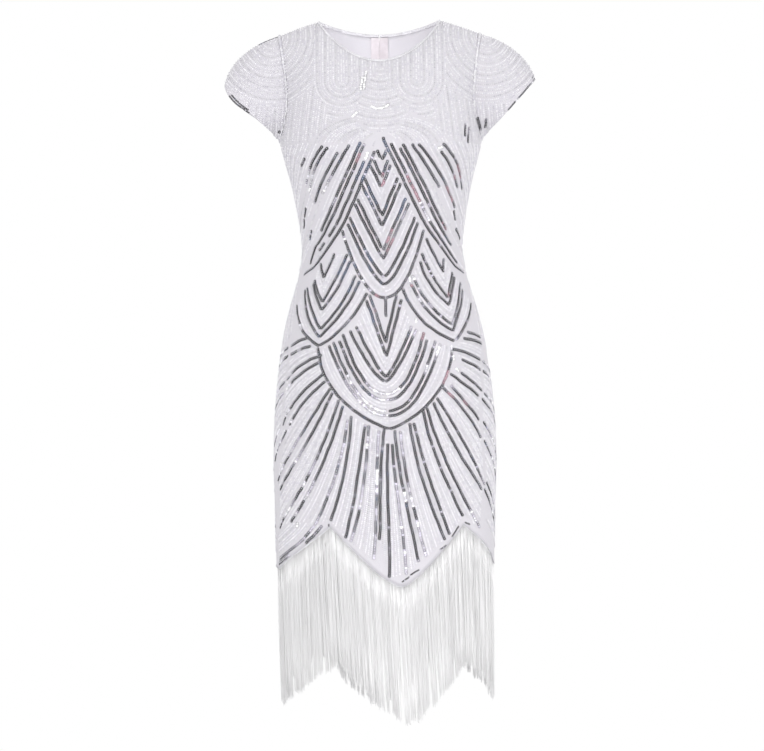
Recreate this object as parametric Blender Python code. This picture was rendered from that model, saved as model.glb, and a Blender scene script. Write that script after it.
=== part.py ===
"""Knee-length flapper dress of sequinned net, filled out as if worn, with nobody in it.

The dress hangs from the shoulders.  +Z is up, the front faces -Y and the wearer's left is +X.
The origin lies between the two neck points, where the shoulders carry the dress.
Every cloth piece is a thin wall through rings that are worked out from the tables below.
Lengths are in millimetres here and are turned into metres when a mesh is made.
"""
import math
import random

import bmesh
import bpy
from mathutils import Matrix, Vector

MM = 0.001

# ---------------------------------------------------------------- driving sizes
CLOTH = 1.6                     # net with its sequins, through the wall
SEAM_GAP = 0.3                  # clear space between two pieces sewn together

NECK_HALF_WIDTH = 93.0
NECK_FRONT_DEPTH = 75.0         # how far the front neck stands before the shoulder line
NECK_BACK_DEPTH = 58.0
NECK_FRONT_DROP = 69.0
NECK_BACK_DROP = 15.0
NECK_OPENING = 1.4              # between the binding's ends, over the zip
SHOULDER_END = Vector((150.0, 0.0, -20.0))

CHEST_Z = -119.0                # the yoke rises from this ring to the neck and shoulders
UNDERARM_Z = -178.0
ARMHOLE_ANGLE = 66.0            # where the armhole leaves the chest ring, degrees from centre

SLEEVE_TIP = Vector((232.0, 0.0, -90.0))
SLEEVE_UNDERARM = Vector((157.0, 0.0, -171.0))
SLEEVE_HALF_DEPTH = 59.0

HEM_FRONT_POINT = -838.0
HEM_SIDE_POINT = -815.0
HEM_PEAK = -750.0
HEM_PEAK_ANGLE = 35.5           # degrees round from the front point, and from the back point
HEM_POINT_ROUNDING = 0.12

FRINGE_LENGTH = 203.0
FRINGE_LEAN = 0.025             # the strands draw in a little as they hang
STRANDS_PER_HALF = 96
BRAID = {"thick": 1.2, "above": 5.0, "below": 1.5, "gap": 0.4}

ZIP_END_Z = -520.0
ZIP_TEETH_WIDTH = 4.0
ZIP_TEETH_THICK = 1.5
ZIP_TAPE_WIDTH = 13.0
ZIP_TAPE_THICK = 1.0

# ---------------------------------------------------------------- rings of the body
# "turn" is how far, in degrees, the cloth has swung round towards the wearer's left.
RING_COLUMNS = ("z", "half_width", "front", "back", "square", "turn")
RINGS = (
    (-80.0, 150.0, 90.0, 88.0, 2.60, 0.0),
    (-119.0, 148.0, 101.0, 96.0, 2.50, 0.0),
    (-150.0, 149.5, 111.0, 100.0, 2.40, 0.0),
    (-178.0, 150.5, 117.0, 101.5, 2.30, 0.0),
    (-207.0, 144.0, 119.0, 100.0, 2.25, 0.0),
    (-237.0, 136.0, 114.0, 96.0, 2.20, 0.2),
    (-267.0, 129.5, 105.0, 91.0, 2.15, 0.4),
    (-300.0, 124.0, 96.0, 86.0, 2.10, 0.7),
    (-342.0, 120.0, 90.0, 82.0, 2.10, 1.0),
    (-387.0, 127.5, 94.0, 90.0, 2.10, 1.2),
    (-432.0, 140.0, 100.0, 102.0, 2.15, 1.5),
    (-477.0, 151.0, 105.0, 113.0, 2.15, 1.8),
    (-537.0, 159.5, 110.0, 124.0, 2.15, 2.2),
    (-597.0, 165.0, 111.0, 128.0, 2.15, 3.0),
    (-660.0, 166.5, 109.0, 125.0, 2.15, 4.6),
    (-720.0, 164.5, 106.0, 120.0, 2.15, 6.4),
    (-780.0, 163.5, 104.0, 117.0, 2.15, 7.2),
    (-850.0, 162.5, 102.0, 115.0, 2.15, 6.4),
)

# Soft waves in the skirt: they begin at the hips and are deepest at the hem.
WAVE_TOP_Z = -560.0
WAVE_COLUMNS = ("angle", "swell", "spread")
WAVES = (
    (-68.0, 3.5, 11.0),
    (-40.0, -3.0, 12.0),
    (-12.0, 2.0, 10.0),
    (22.0, -2.5, 12.0),
    (50.0, 3.0, 11.0),
    (76.0, -2.5, 9.0),
    (112.0, 3.5, 13.0),
    (146.0, -3.0, 12.0),
    (-164.0, 3.0, 14.0),
    (-128.0, -3.5, 13.0),
    (-100.0, 2.5, 9.0),
)

# How each column of the yoke arrives at the neck or shoulder, in degrees above level.
NECK_LEAN_FRONT = 58.0
NECK_LEAN_BACK = 70.0
NECK_POINT_LEAN = 12.0
SHOULDER_LEAN = 4.0
YOKE_FULLNESS = 1.08

# How the sleeve leaves the armhole and reaches its hem; "out" is away from the arm's mid-plane.
SLEEVE_COLUMNS = ("round", "leave_x", "leave_out", "leave_z", "reach_x", "reach_out", "reach_z")
SLEEVE_LEANS = (
    (0.00, 0.97, 0.00, -0.24, 0.18, 0.00, -0.98),
    (0.25, 0.92, 0.24, -0.30, 0.45, 0.20, -0.87),
    (0.50, 0.84, 0.38, -0.38, 0.74, 0.05, -0.67),
    (0.75, 0.78, 0.46, -0.20, 0.80, -0.22, -0.55),
    (1.00, 0.65, 0.00, 0.75, 0.65, 0.00, 0.75),
)

# ---------------------------------------------------------------- how finely each piece is laid out
NECK_STEPS = 8
SHOULDER_STEPS = 3
ARMHOLE_LOWER_STEPS = 5
ARMHOLE_UPPER_STEPS = 5
SKIRT_STEPS = 21
CHEST_STEPS = 2
SLEEVE_STEPS = 5

YOKE_COLUMNS = NECK_STEPS + SHOULDER_STEPS
QUARTER = YOKE_COLUMNS + ARMHOLE_LOWER_STEPS
AROUND = 4 * QUARTER
CHEST_ROW = SKIRT_STEPS + CHEST_STEPS
TOP_ROW = CHEST_ROW + ARMHOLE_UPPER_STEPS


# ---------------------------------------------------------------- small helpers
def rows_as_dicts(columns, rows):
    return [dict(zip(columns, row)) for row in rows]


def mix(a, b, t):
    return a + (b - a) * t


def read_table(rows, key, value):
    """Smoothly read every column of a table at one value of its key column."""
    rows = sorted(rows, key=lambda row: row[key])
    value = max(rows[0][key], min(rows[-1][key], value))
    i = 0
    while i < len(rows) - 2 and value > rows[i + 1][key]:
        i += 1
    low, high = rows[i], rows[i + 1]
    span = high[key] - low[key]
    t = (value - low[key]) / span
    before = rows[max(i - 1, 0)]
    after = rows[min(i + 2, len(rows) - 1)]
    result = {}
    for name in low:
        rise_low = (high[name] - before[name]) / max(high[key] - before[key], 1e-9)
        rise_high = (after[name] - low[name]) / max(after[key] - low[key], 1e-9)
        result[name] = hermite(low[name], rise_low * span, high[name], rise_high * span, t)
    return result


def hermite(start, start_pull, end, end_pull, t):
    return (
        start * (2 * t ** 3 - 3 * t ** 2 + 1)
        + start_pull * (t ** 3 - 2 * t ** 2 + t)
        + end * (3 * t ** 2 - 2 * t ** 3)
        + end_pull * (t ** 3 - t ** 2)
    )


def signed_power(value, power):
    return math.copysign(abs(value) ** power, value)


RING_TABLE = rows_as_dicts(RING_COLUMNS, RINGS)
WAVE_TABLE = rows_as_dicts(WAVE_COLUMNS, WAVES)
SLEEVE_TABLE = rows_as_dicts(SLEEVE_COLUMNS, SLEEVE_LEANS)


# ---------------------------------------------------------------- the form of the body
def wave_at(angle, z):
    """Outward swell of the skirt's waves at a place on the cloth."""
    depth = max(0.0, (WAVE_TOP_Z - z) / (WAVE_TOP_Z - HEM_FRONT_POINT))
    total = 0.0
    for wave in WAVE_TABLE:
        off = (angle - wave["angle"] + 180.0) % 360.0 - 180.0
        total += wave["swell"] * math.exp(-((off / wave["spread"]) ** 2))
    return total * depth ** 1.3


def ring_point(angle, z):
    """A point of the body.  The angle is measured on the cloth: 0 front, 90 wearer's left."""
    ring = read_table(RING_TABLE, "z", z)
    turned = math.radians(angle + ring["turn"])
    power = 2.0 / ring["square"]
    depth = ring["front"] if math.cos(turned) > 0 else ring["back"]
    flat = Vector((
        ring["half_width"] * signed_power(math.sin(turned), power),
        -depth * signed_power(math.cos(turned), power),
        0.0,
    ))
    flat += flat.normalized() * wave_at(angle, z)
    return Vector((flat.x, flat.y, z))


def hem_height(angle):
    """Height of the pointed hem: four points, with four peaks between them."""
    from_front = abs((angle + 180.0) % 360.0 - 180.0)
    from_middle = min(from_front, 180.0 - from_front)
    if from_middle < HEM_PEAK_ANGLE:
        point, u, power = HEM_FRONT_POINT, from_middle / HEM_PEAK_ANGLE, 1.0
    else:
        point, u, power = HEM_SIDE_POINT, (90.0 - from_middle) / (90.0 - HEM_PEAK_ANGLE), 1.35
    u = u ** power
    r = HEM_POINT_ROUNDING
    rise = (math.sqrt(u * u + r * r) - r) / (math.sqrt(1 + r * r) - r)
    return mix(point, HEM_PEAK, rise)


def column_angle(i):
    """Angle on the chest ring of the i-th column from the centre line, up to 90 at the side."""
    if i <= NECK_STEPS:
        top = math.degrees(math.asin(NECK_HALF_WIDTH / read_table(RING_TABLE, "z", CHEST_Z)["half_width"]))
        even = i / NECK_STEPS
        plumb = math.asin(math.sin(even * math.pi / 2) * math.sin(math.radians(top)))
        return 0.6 * even * top + 0.4 * math.degrees(plumb)
    if i <= YOKE_COLUMNS:
        return mix(column_angle(NECK_STEPS), ARMHOLE_ANGLE, (i - NECK_STEPS) / SHOULDER_STEPS)
    tau = (i - YOKE_COLUMNS) / ARMHOLE_LOWER_STEPS * math.pi / 2
    return mix(ARMHOLE_ANGLE, 90.0, 1 - math.cos(tau))


def column_chest_top(i):
    """Height where a column leaves the body's rings: the chest ring, or the lower armhole."""
    if i <= YOKE_COLUMNS:
        return CHEST_Z
    tau = (i - YOKE_COLUMNS) / ARMHOLE_LOWER_STEPS * math.pi / 2
    return mix(CHEST_Z, UNDERARM_Z, math.sin(tau))


def top_edge(i, back):
    """Point of the neck or the shoulder seam that a yoke column ends on, and its lean."""
    towards = -1.0 if back else 1.0
    if i <= NECK_STEPS:
        u = i / NECK_STEPS
        around = u * math.pi / 2
        depth, drop, power = (NECK_BACK_DEPTH, NECK_BACK_DROP, 2.6) if back else (
            NECK_FRONT_DEPTH, NECK_FRONT_DROP, 1.75)
        cosine = max(math.cos(around), 0.0)
        point = Vector((NECK_HALF_WIDTH * math.sin(around), -towards * depth * cosine, -drop * cosine ** power))
        lean = mix(NECK_LEAN_BACK if back else NECK_LEAN_FRONT, NECK_POINT_LEAN, u ** 1.4)
    else:
        u = (i - NECK_STEPS) / SHOULDER_STEPS
        neck_point = Vector((NECK_HALF_WIDTH, 0.0, 0.0))
        point = neck_point.lerp(SHOULDER_END, u)
        point.z = SHOULDER_END.z * u ** 1.15
        lean = mix(NECK_POINT_LEAN, SHOULDER_LEAN, u)
    lean = math.radians(lean)
    return point, Vector((0.0, towards * math.cos(lean), math.sin(lean)))


def body_point(i, j, left, back):
    """Grid point of one quarter of the body: column i from the centre, row j from the hem."""
    angle = column_angle(i)
    cloth_angle = (1 if left else -1) * (180.0 - angle if back else angle)
    if j <= CHEST_ROW:
        low = hem_height(cloth_angle)
        high = column_chest_top(i)
        return ring_point(cloth_angle, mix(low, high, j / CHEST_ROW))
    start = ring_point(cloth_angle, CHEST_Z)
    rise = (ring_point(cloth_angle, CHEST_Z + 4) - start).normalized()
    end, lean = top_edge(i, back)
    if not left:
        end.x = -end.x
    pull = (end - start).length * YOKE_FULLNESS
    return hermite(start, rise * pull, end, lean * pull, (j - CHEST_ROW) / ARMHOLE_UPPER_STEPS)


def body_key(c, j):
    """Columns run round the body from the centre back, past the wearer's right side."""
    return ("body", c % AROUND, j)


def quarter_place(c):
    """Turn a column number round the body into a quarter of it and a column from its centre."""
    c %= AROUND
    if c <= QUARTER:
        return c, False, True
    if c <= 2 * QUARTER:
        return 2 * QUARTER - c, False, False
    if c <= 3 * QUARTER:
        return c - 2 * QUARTER, True, False
    return 4 * QUARTER - c, True, True


def rows_in_column(c):
    i, _, _ = quarter_place(c)
    return TOP_ROW if i <= YOKE_COLUMNS else CHEST_ROW


# ---------------------------------------------------------------- the form of a sleeve
def armhole_keys(left):
    """The armhole's grid points in order: shoulder, front, underarm, back."""
    centre = 2 * QUARTER
    step = 1 if left else -1
    front = [body_key(centre + step * YOKE_COLUMNS, j) for j in range(TOP_ROW, CHEST_ROW, -1)]
    front += [body_key(centre + step * i, CHEST_ROW) for i in range(YOKE_COLUMNS, QUARTER + 1)]
    back = [body_key(centre + step * (2 * QUARTER - i), CHEST_ROW) for i in range(QUARTER - 1, YOKE_COLUMNS - 1, -1)]
    back += [body_key(centre + step * (2 * QUARTER - YOKE_COLUMNS), j) for j in range(CHEST_ROW + 1, TOP_ROW)]
    return front + back


def sleeve_grid(form, left):
    """Add one sleeve to the form: columns run from the armhole to the sleeve's hem."""
    loop = armhole_keys(left)
    count = len(loop)
    half = ARMHOLE_UPPER_STEPS + ARMHOLE_LOWER_STEPS
    sign = 1.0 if left else -1.0
    middle = (SLEEVE_TIP + SLEEVE_UNDERARM) / 2
    long_axis = (SLEEVE_TIP - SLEEVE_UNDERARM) / 2
    name = "left" if left else "right"
    lengths = [0.0]
    for k in range(half):
        lengths.append(lengths[-1] + (form[loop[k + 1]] - form[loop[k]]).length)
    columns = []
    for k in range(count):
        share = lengths[k] / lengths[half] if k <= half else lengths[count - k] / lengths[half]
        front = -1.0 if k < half else 1.0
        lean = read_table(SLEEVE_TABLE, "round", share)
        around = share * math.pi
        end = middle + long_axis * math.cos(around)
        end.y = front * SLEEVE_HALF_DEPTH * math.sin(around)
        end.x *= sign
        start = form[loop[k]]
        leave = Vector((sign * lean["leave_x"], front * lean["leave_out"], lean["leave_z"])).normalized()
        reach = Vector((sign * lean["reach_x"], front * lean["reach_out"], lean["reach_z"])).normalized()
        pull = (end - start).length
        column = [loop[k]]
        for m in range(1, SLEEVE_STEPS + 1):
            key = (name, k, m)
            form[key] = hermite(start, leave * pull, end, reach * pull, m / SLEEVE_STEPS)
            column.append(key)
        columns.append(column)
    quads = []
    for k in range(count):
        here, there = columns[k], columns[(k + 1) % count]
        for m in range(SLEEVE_STEPS):
            quad = (here[m], here[m + 1], there[m + 1], there[m])
            quads.append(quad if not left else quad[::-1])
    return quads


# ---------------------------------------------------------------- the whole form, then its walls
def body_quads(first, last):
    """Grid faces between two columns of the body, leaving the armholes open."""
    quads = []
    for c in range(first, last):
        top = min(rows_in_column(c), rows_in_column(c + 1))
        for j in range(top):
            quads.append((body_key(c, j), body_key(c + 1, j), body_key(c + 1, j + 1), body_key(c, j + 1)))
    return quads


def build_form():
    """Outer points of the whole dress, and the faces of each cloth piece."""
    form = {}
    for c in range(AROUND):
        i, left, back = quarter_place(c)
        for j in range(rows_in_column(c) + 1):
            form[body_key(c, j)] = body_point(i, j, left, back)
    pieces = {
        "back_right": body_quads(0, QUARTER),
        "front": body_quads(QUARTER, 3 * QUARTER),
        "back_left": body_quads(3 * QUARTER, 4 * QUARTER),
        "sleeve_left": sleeve_grid(form, True),
        "sleeve_right": sleeve_grid(form, False),
    }
    return form, pieces


def form_normals(form, pieces):
    """Outward direction at each point, shared by the pieces that meet there."""
    merged = {}
    for quads in pieces.values():
        for quad in quads:
            a, b, c, d = (form[key] for key in quad)
            facing = (c - a).cross(d - b)
            for key in quad:
                place = tuple(round(v, 3) for v in form[key])
                merged[place] = merged.get(place, Vector((0, 0, 0))) + facing.normalized()
    return {key: merged[tuple(round(v, 3) for v in point)].normalized()
            for key, point in form.items() if tuple(round(v, 3) for v in point) in merged}


def edge_pulls(form, quads):
    """Direction from each border point into its own piece, along the cloth."""
    seen = {}
    for quad in quads:
        middle = sum((form[key] for key in quad), Vector()) / 4
        for a, b in zip(quad, quad[1:] + quad[:1]):
            edge = frozenset((a, b))
            seen[edge] = None if edge in seen else (a, b, middle)
    pulls = {}
    for entry in seen.values():
        if entry is None:
            continue
        a, b, middle = entry
        along = (form[b] - form[a]).normalized()
        inward = middle - form[a]
        inward = (inward - along * inward.dot(along)).normalized()
        for key in (a, b):
            pulls.setdefault(key, []).append(inward)
    border = [entry[:2] for entry in seen.values() if entry is not None]
    spread = {}
    for key, directions in pulls.items():
        total = sum(directions, Vector())
        total.normalize()
        lean = min(max(total.dot(direction), 0.5) for direction in directions)
        spread[key] = total / lean
    return border, spread


def wall_points(form, normals, quads, thickness):
    """Outer and inner points of one piece, drawn back from its seams by half the gap."""
    border, pulls = edge_pulls(form, quads)
    outer, inner = {}, {}
    for quad in quads:
        for key in quad:
            if key in outer:
                continue
            point = form[key].copy()
            if key in pulls:
                point += pulls[key] * SEAM_GAP / 2
            outer[key] = point
            inner[key] = point - normals[key] * thickness
    return border, outer, inner


def make_object(name, bm, material, smooth=True):
    mesh = bpy.data.meshes.new(name)
    bm.to_mesh(mesh)
    bm.free()
    obj = bpy.data.objects.new(name, mesh)
    bpy.context.collection.objects.link(obj)
    mesh.materials.append(material)
    if smooth:
        mesh.shade_smooth()
        mesh.set_sharp_from_angle(angle=math.radians(40))
    return obj


def make_wall(name, quads, border, outer, inner, material):
    bm = bmesh.new()
    out_verts = {key: bm.verts.new(point * MM) for key, point in outer.items()}
    in_verts = {key: bm.verts.new(point * MM) for key, point in inner.items()}
    for quad in quads:
        bm.faces.new([out_verts[key] for key in quad])
        bm.faces.new([in_verts[key] for key in reversed(quad)])
    for a, b in border:
        bm.faces.new((out_verts[b], out_verts[a], in_verts[a], in_verts[b]))
    return make_object(name, bm, material)


def sweep(name, rings, material, smooth=False):
    """A closed bar through rings of points, each ring running the same way round."""
    bm = bmesh.new()
    loops = [[bm.verts.new(point * MM) for point in ring] for ring in rings]
    count = len(loops[0])
    for here, there in zip(loops, loops[1:]):
        for k in range(count):
            n = (k + 1) % count
            bm.faces.new((here[k], here[n], there[n], there[k]))
    bm.faces.new(list(reversed(loops[0])))
    bm.faces.new(loops[-1])
    bmesh.ops.recalc_face_normals(bm, faces=bm.faces[:])
    return make_object(name, bm, material, smooth)


def plain_material(name, colour, roughness, metallic=0.0):
    material = bpy.data.materials.new(name)
    material.use_nodes = True
    shader = material.node_tree.nodes["Principled BSDF"]
    shader.inputs["Base Color"].default_value = (*colour, 1.0)
    shader.inputs["Roughness"].default_value = roughness
    shader.inputs["Metallic"].default_value = metallic
    return material


# ---------------------------------------------------------------- the cloth pieces
def zip_opening(z):
    """Half the space between the two back panels at one height: open for the zip's teeth."""
    return ZIP_TEETH_WIDTH / 2 + SEAM_GAP / 2 if z > ZIP_END_Z else 0.0


def make_cloth(form, normals, pieces, materials):
    for name, quads in pieces.items():
        border, outer, inner = wall_points(form, normals, quads, CLOTH)
        if name.startswith("back"):
            side = 1.0 if name == "back_left" else -1.0
            for key in outer:
                if key[1] == 0:
                    shift = Vector((side * zip_opening(outer[key].z), 0.0, 0.0))
                    outer[key] += shift
                    inner[key] += shift
        make_wall(name, quads, border, outer, inner, materials["net"])


def make_neck_binding(form, normals, pieces, material):
    """Narrow rounded binding that stands on the neck's edge, open at the centre-back zip."""
    width, proud = 5.0, 0.5
    corner = 0.8
    far, near = proud, -CLOTH - proud
    profile = (
        (SEAM_GAP, far), (SEAM_GAP + width - corner, far), (SEAM_GAP + width, far - corner),
        (SEAM_GAP + width, near + corner), (SEAM_GAP + width - corner, near), (SEAM_GAP, near),
    )
    neck = [body_key(c, TOP_ROW) for c in range(0, NECK_STEPS + 1)]
    neck += [body_key(c, TOP_ROW) for c in range(2 * QUARTER - NECK_STEPS + 1, 2 * QUARTER + NECK_STEPS)]
    neck += [body_key(c, TOP_ROW) for c in range(4 * QUARTER - NECK_STEPS, 4 * QUARTER + 1)]
    points = [form[key].copy() for key in neck]
    points[0].x -= NECK_OPENING / 2
    points[-1].x += NECK_OPENING / 2
    rings = []
    for k, key in enumerate(neck):
        ahead = points[min(k + 1, len(points) - 1)]
        behind = points[max(k - 1, 0)]
        along = (ahead - behind).normalized()
        beyond = normals[key].cross(along).normalized()
        rings.append([points[k] + beyond * b + normals[key] * n for b, n in profile])
    sweep("neck_binding", rings, material)


# ---------------------------------------------------------------- the zip
def centre_back(form, normals, across):
    """Points down the centre back, from the neck to the zip's end, and their frames."""
    stations = []
    for j in range(TOP_ROW, -1, -1):
        middle = form[body_key(0, j)]
        if middle.z < ZIP_END_Z:
            break
        beside = form[body_key(-1 if across > 0 else 1, j)]
        sideways = (beside - middle).normalized()
        stations.append((middle, sideways, normals[body_key(0, j)]))
    return stations


def make_zip_tapes(form, normals, material):
    near = -CLOTH - SEAM_GAP - 0.1
    far = near - ZIP_TAPE_THICK
    for name, across in (("zip_tape_left", 1.0), ("zip_tape_right", -1.0)):
        rings = []
        for middle, sideways, out in centre_back(form, normals, across):
            a = middle + sideways * SEAM_GAP / 2
            b = middle + sideways * ZIP_TAPE_WIDTH
            rings.append([a + out * near, b + out * near, b + out * far, a + out * far])
        top_gap = (rings[1][0] - rings[0][0]).normalized() * SEAM_GAP
        rings[0] = [point + top_gap for point in rings[0]]
        sweep(name, rings, material)


def make_zip_chain(form, normals, material):
    half = ZIP_TEETH_WIDTH / 2
    rings = []
    for middle, _, out in centre_back(form, normals, 1.0):
        left, right = middle + Vector((half, 0, 0)), middle - Vector((half, 0, 0))
        rings.append([right, left, left - out * ZIP_TEETH_THICK, right - out * ZIP_TEETH_THICK])
    top_gap = (rings[1][0] - rings[0][0]).normalized() * SEAM_GAP
    rings[0] = [point + top_gap for point in rings[0]]
    sweep("zip_chain", rings, material)


def outline_plate(bm, outline, low, high, place):
    """Extrude a flat outline, given as (along x, along the zip), between two heights."""
    verts = [bm.verts.new(place @ Vector((x, y, low))) for x, y in outline]
    face = bm.faces.new(verts)
    made = bmesh.ops.extrude_face_region(bm, geom=[face])
    top = [item for item in made["geom"] if isinstance(item, bmesh.types.BMVert)]
    bmesh.ops.translate(bm, verts=top, vec=place.to_3x3() @ Vector((0, 0, high - low)))


SLIDER = {
    "down": 11.0,           # from the neck's edge to the slider's middle
    "half_width": 3.4, "half_length": 4.6, "low": 0.4, "high": 2.0,
    "bail_half_width": 0.8, "bail_half_length": 2.9, "bail_top": 5.2,
    "eye_half_length": 1.6, "eye_low": 1.9, "eye_top": 4.2, "axis": 3.05,
}
PULL = {
    "length": 21.0, "top_half_width": 2.7, "end_half_width": 3.6, "half_thick": 0.55,
    "above_axis": 0.75, "eye_half_width": 1.35, "eye_start": 0.75, "eye_end": 4.2, "tilt": 2.0,
}


def slider_frame(form, normals):
    """Place on the teeth: X across, Y up along the zip, Z out of the back."""
    top = form[body_key(0, TOP_ROW)]
    below = form[body_key(0, TOP_ROW - 1)]
    up = (top - below).normalized()
    across = Vector((-1.0, 0.0, 0.0))
    out = across.cross(up).normalized()
    origin = top - up * SLIDER["down"]
    turn = Matrix((across, up, out)).transposed().to_4x4()
    return Matrix.Translation(origin * MM) @ turn @ Matrix.Scale(MM, 4)


def make_slider(place, material):
    s = SLIDER
    w, l = s["half_width"], s["half_length"]
    body = bmesh.new()
    shield = ((-w, l - 1.2), (-w + 1.2, l), (w - 1.2, l), (w, l - 1.2), (w, 0.5),
              (w * 0.62, -l), (-w * 0.62, -l), (-w, 0.5))
    outline_plate(body, shield[::-1], s["low"], s["high"], place)
    bmesh.ops.recalc_face_normals(body, faces=body.faces[:])
    slider = make_object("zip_slider", body, material, False)

    bail = bmesh.new()
    side = place @ Matrix(((0, 0, 1, 0), (1, 0, 0, 0), (0, 1, 0, 0), (0, 0, 0, 1)))
    b, e = s["bail_half_length"], s["eye_half_length"]
    arch = ((-b, s["high"] - 0.6), (-b, s["bail_top"] - 1.2), (-b + 1.2, s["bail_top"]),
            (b - 1.2, s["bail_top"]), (b, s["bail_top"] - 1.2), (b, s["high"] - 0.6),
            (e, s["high"] - 0.6), (e, s["eye_top"]), (-e, s["eye_top"]), (-e, s["high"] - 0.6))
    outline_plate(bail, arch, -s["bail_half_width"], s["bail_half_width"], side)
    bmesh.ops.recalc_face_normals(bail, faces=bail.faces[:])
    cutter = make_object("bail_shape", bail, material, False)
    cutter.hide_render = True
    cutter.display_type = "WIRE"
    join = slider.modifiers.new("bail", "BOOLEAN")
    join.operation = "UNION"
    join.object = cutter
    return slider


def make_pull(place, material):
    """Pull tab with an eye round the bail; its origin lies on the axis it swings about."""
    p = PULL
    top, end = p["top_half_width"], p["end_half_width"]
    far = -p["length"]
    outline = [(-top, p["above_axis"]), (-top, -p["eye_end"] - 1.5)]
    for k in range(7):
        turn = math.pi + k / 6 * math.pi
        outline.append((end * math.cos(turn), far + end + end * math.sin(turn)))
    outline += [(top, -p["eye_end"] - 1.5), (top, p["above_axis"])]
    eye = [(-p["eye_half_width"], -p["eye_start"]), (p["eye_half_width"], -p["eye_start"]),
           (p["eye_half_width"], -p["eye_end"]), (-p["eye_half_width"], -p["eye_end"])]
    axis = place @ Matrix.Translation((0, 0, SLIDER["axis"])) @ Matrix.Rotation(math.radians(p["tilt"]), 4, "X")
    bm = bmesh.new()
    outline_plate(bm, outline, -p["half_thick"], p["half_thick"], Matrix.Scale(MM, 4))
    bmesh.ops.recalc_face_normals(bm, faces=bm.faces[:])
    tab = make_object("zip_pull", bm, material, False)
    tab.matrix_world = Matrix.Translation(axis.to_translation()) @ (axis.to_3x3() * (1 / MM)).to_4x4()

    hole = bmesh.new()
    outline_plate(hole, eye, -2.0, 2.0, Matrix.Scale(MM, 4))
    bmesh.ops.recalc_face_normals(hole, faces=hole.faces[:])
    cutter = make_object("pull_eye", hole, material, False)
    cutter.matrix_world = tab.matrix_world
    cutter.hide_render = True
    cutter.display_type = "WIRE"
    cut = tab.modifiers.new("eye", "BOOLEAN")
    cut.operation = "DIFFERENCE"
    cut.object = cutter
    return tab


# ---------------------------------------------------------------- the fringe
def hem_line(form, normals, first, last):
    """The hem between two columns as straight stretches with their frames and lengths."""
    stations = []
    travelled = 0.0
    for c in range(first, last + 1):
        point = form[body_key(c, 0)]
        if stations:
            travelled += (point - stations[-1][1]).length
        up = (form[body_key(c, 1)] - point).normalized()
        stations.append((travelled, point, up, normals[body_key(c, 0)]))
    return stations


def along_hem(stations, distance):
    k = 0
    while k < len(stations) - 2 and distance > stations[k + 1][0]:
        k += 1
    a, b = stations[k], stations[k + 1]
    t = (distance - a[0]) / (b[0] - a[0])
    return tuple(a[n].lerp(b[n], t) for n in (1, 2, 3))


def make_fringe(name, form, normals, first, last, material, seed):
    """Braid behind the hem with a row of strands hanging from every other stretch of it."""
    chance = random.Random(seed)
    stations = hem_line(form, normals, first, last)
    total = stations[-1][0]
    start, stop = 1.0, total - 1.0
    columns = 2 * STRANDS_PER_HALF + 1
    near = -CLOTH - BRAID["gap"]
    far = near - BRAID["thick"]
    bm = bmesh.new()
    rings = []
    for k in range(columns + 1):
        point, up, out = along_hem(stations, mix(start, stop, k / columns))
        high, low = point + up * BRAID["above"], point - up * BRAID["below"]
        ring = [low + out * near, high + out * near, high + out * far, low + out * far]
        rings.append([bm.verts.new(p * MM) for p in ring])
    under = []
    for k, (here, there) in enumerate(zip(rings, rings[1:])):
        for n in range(4):
            m = (n + 1) % 4
            face = bm.faces.new((here[n], there[n], there[m], here[m]))
            if n == 3 and k % 2 == 1:
                under.append(face)
    bm.faces.new(rings[0])
    bm.faces.new(list(reversed(rings[-1])))
    bmesh.ops.recalc_face_normals(bm, faces=bm.faces[:])
    for face in under:
        middle = face.calc_center_median() / MM
        drop = FRINGE_LENGTH - BRAID["below"] + chance.uniform(-5.0, 3.0)
        sway = Vector((chance.uniform(-1.2, 1.2), chance.uniform(-1.2, 1.2), 0.0))
        inward = Vector((-middle.x, -middle.y, 0.0)).normalized() * FRINGE_LEAN
        tip = face
        for share in (0.45, 0.55):
            made = bmesh.ops.extrude_discrete_faces(bm, faces=[tip])
            tip = made["faces"][0]
            step = (Vector((0, 0, -1)) + inward) * drop * share + sway * share
            bmesh.ops.translate(bm, verts=tip.verts[:], vec=step * MM)
    return make_object(name, bm, material, False)


# ---------------------------------------------------------------- the dress
def main():
    for obj in list(bpy.data.objects):
        bpy.data.objects.remove(obj)
    materials = {
        "net": plain_material("sequinned_net", (0.80, 0.80, 0.83), 0.55),
        "binding": plain_material("neck_binding", (0.86, 0.86, 0.88), 0.7),
        "fringe": plain_material("fringe_yarn", (0.88, 0.88, 0.89), 0.6),
        "tape": plain_material("zip_tape", (0.84, 0.84, 0.86), 0.85),
        "teeth": plain_material("zip_teeth", (0.85, 0.85, 0.87), 0.4),
        "metal": plain_material("zip_metal", (0.72, 0.72, 0.74), 0.3, 1.0),
    }
    form, pieces = build_form()
    normals = form_normals(form, pieces)
    make_cloth(form, normals, pieces, materials)
    make_neck_binding(form, normals, pieces, materials["binding"])
    make_zip_tapes(form, normals, materials["tape"])
    make_zip_chain(form, normals, materials["teeth"])
    place = slider_frame(form, normals)
    make_slider(place, materials["metal"])
    make_pull(place, materials["metal"])
    make_fringe("fringe_front", form, normals, QUARTER, 3 * QUARTER, materials["fringe"], 11)
    make_fringe("fringe_back", form, normals, 3 * QUARTER, 5 * QUARTER, materials["fringe"], 12)


main()
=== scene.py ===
# %% [markdown]
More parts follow.
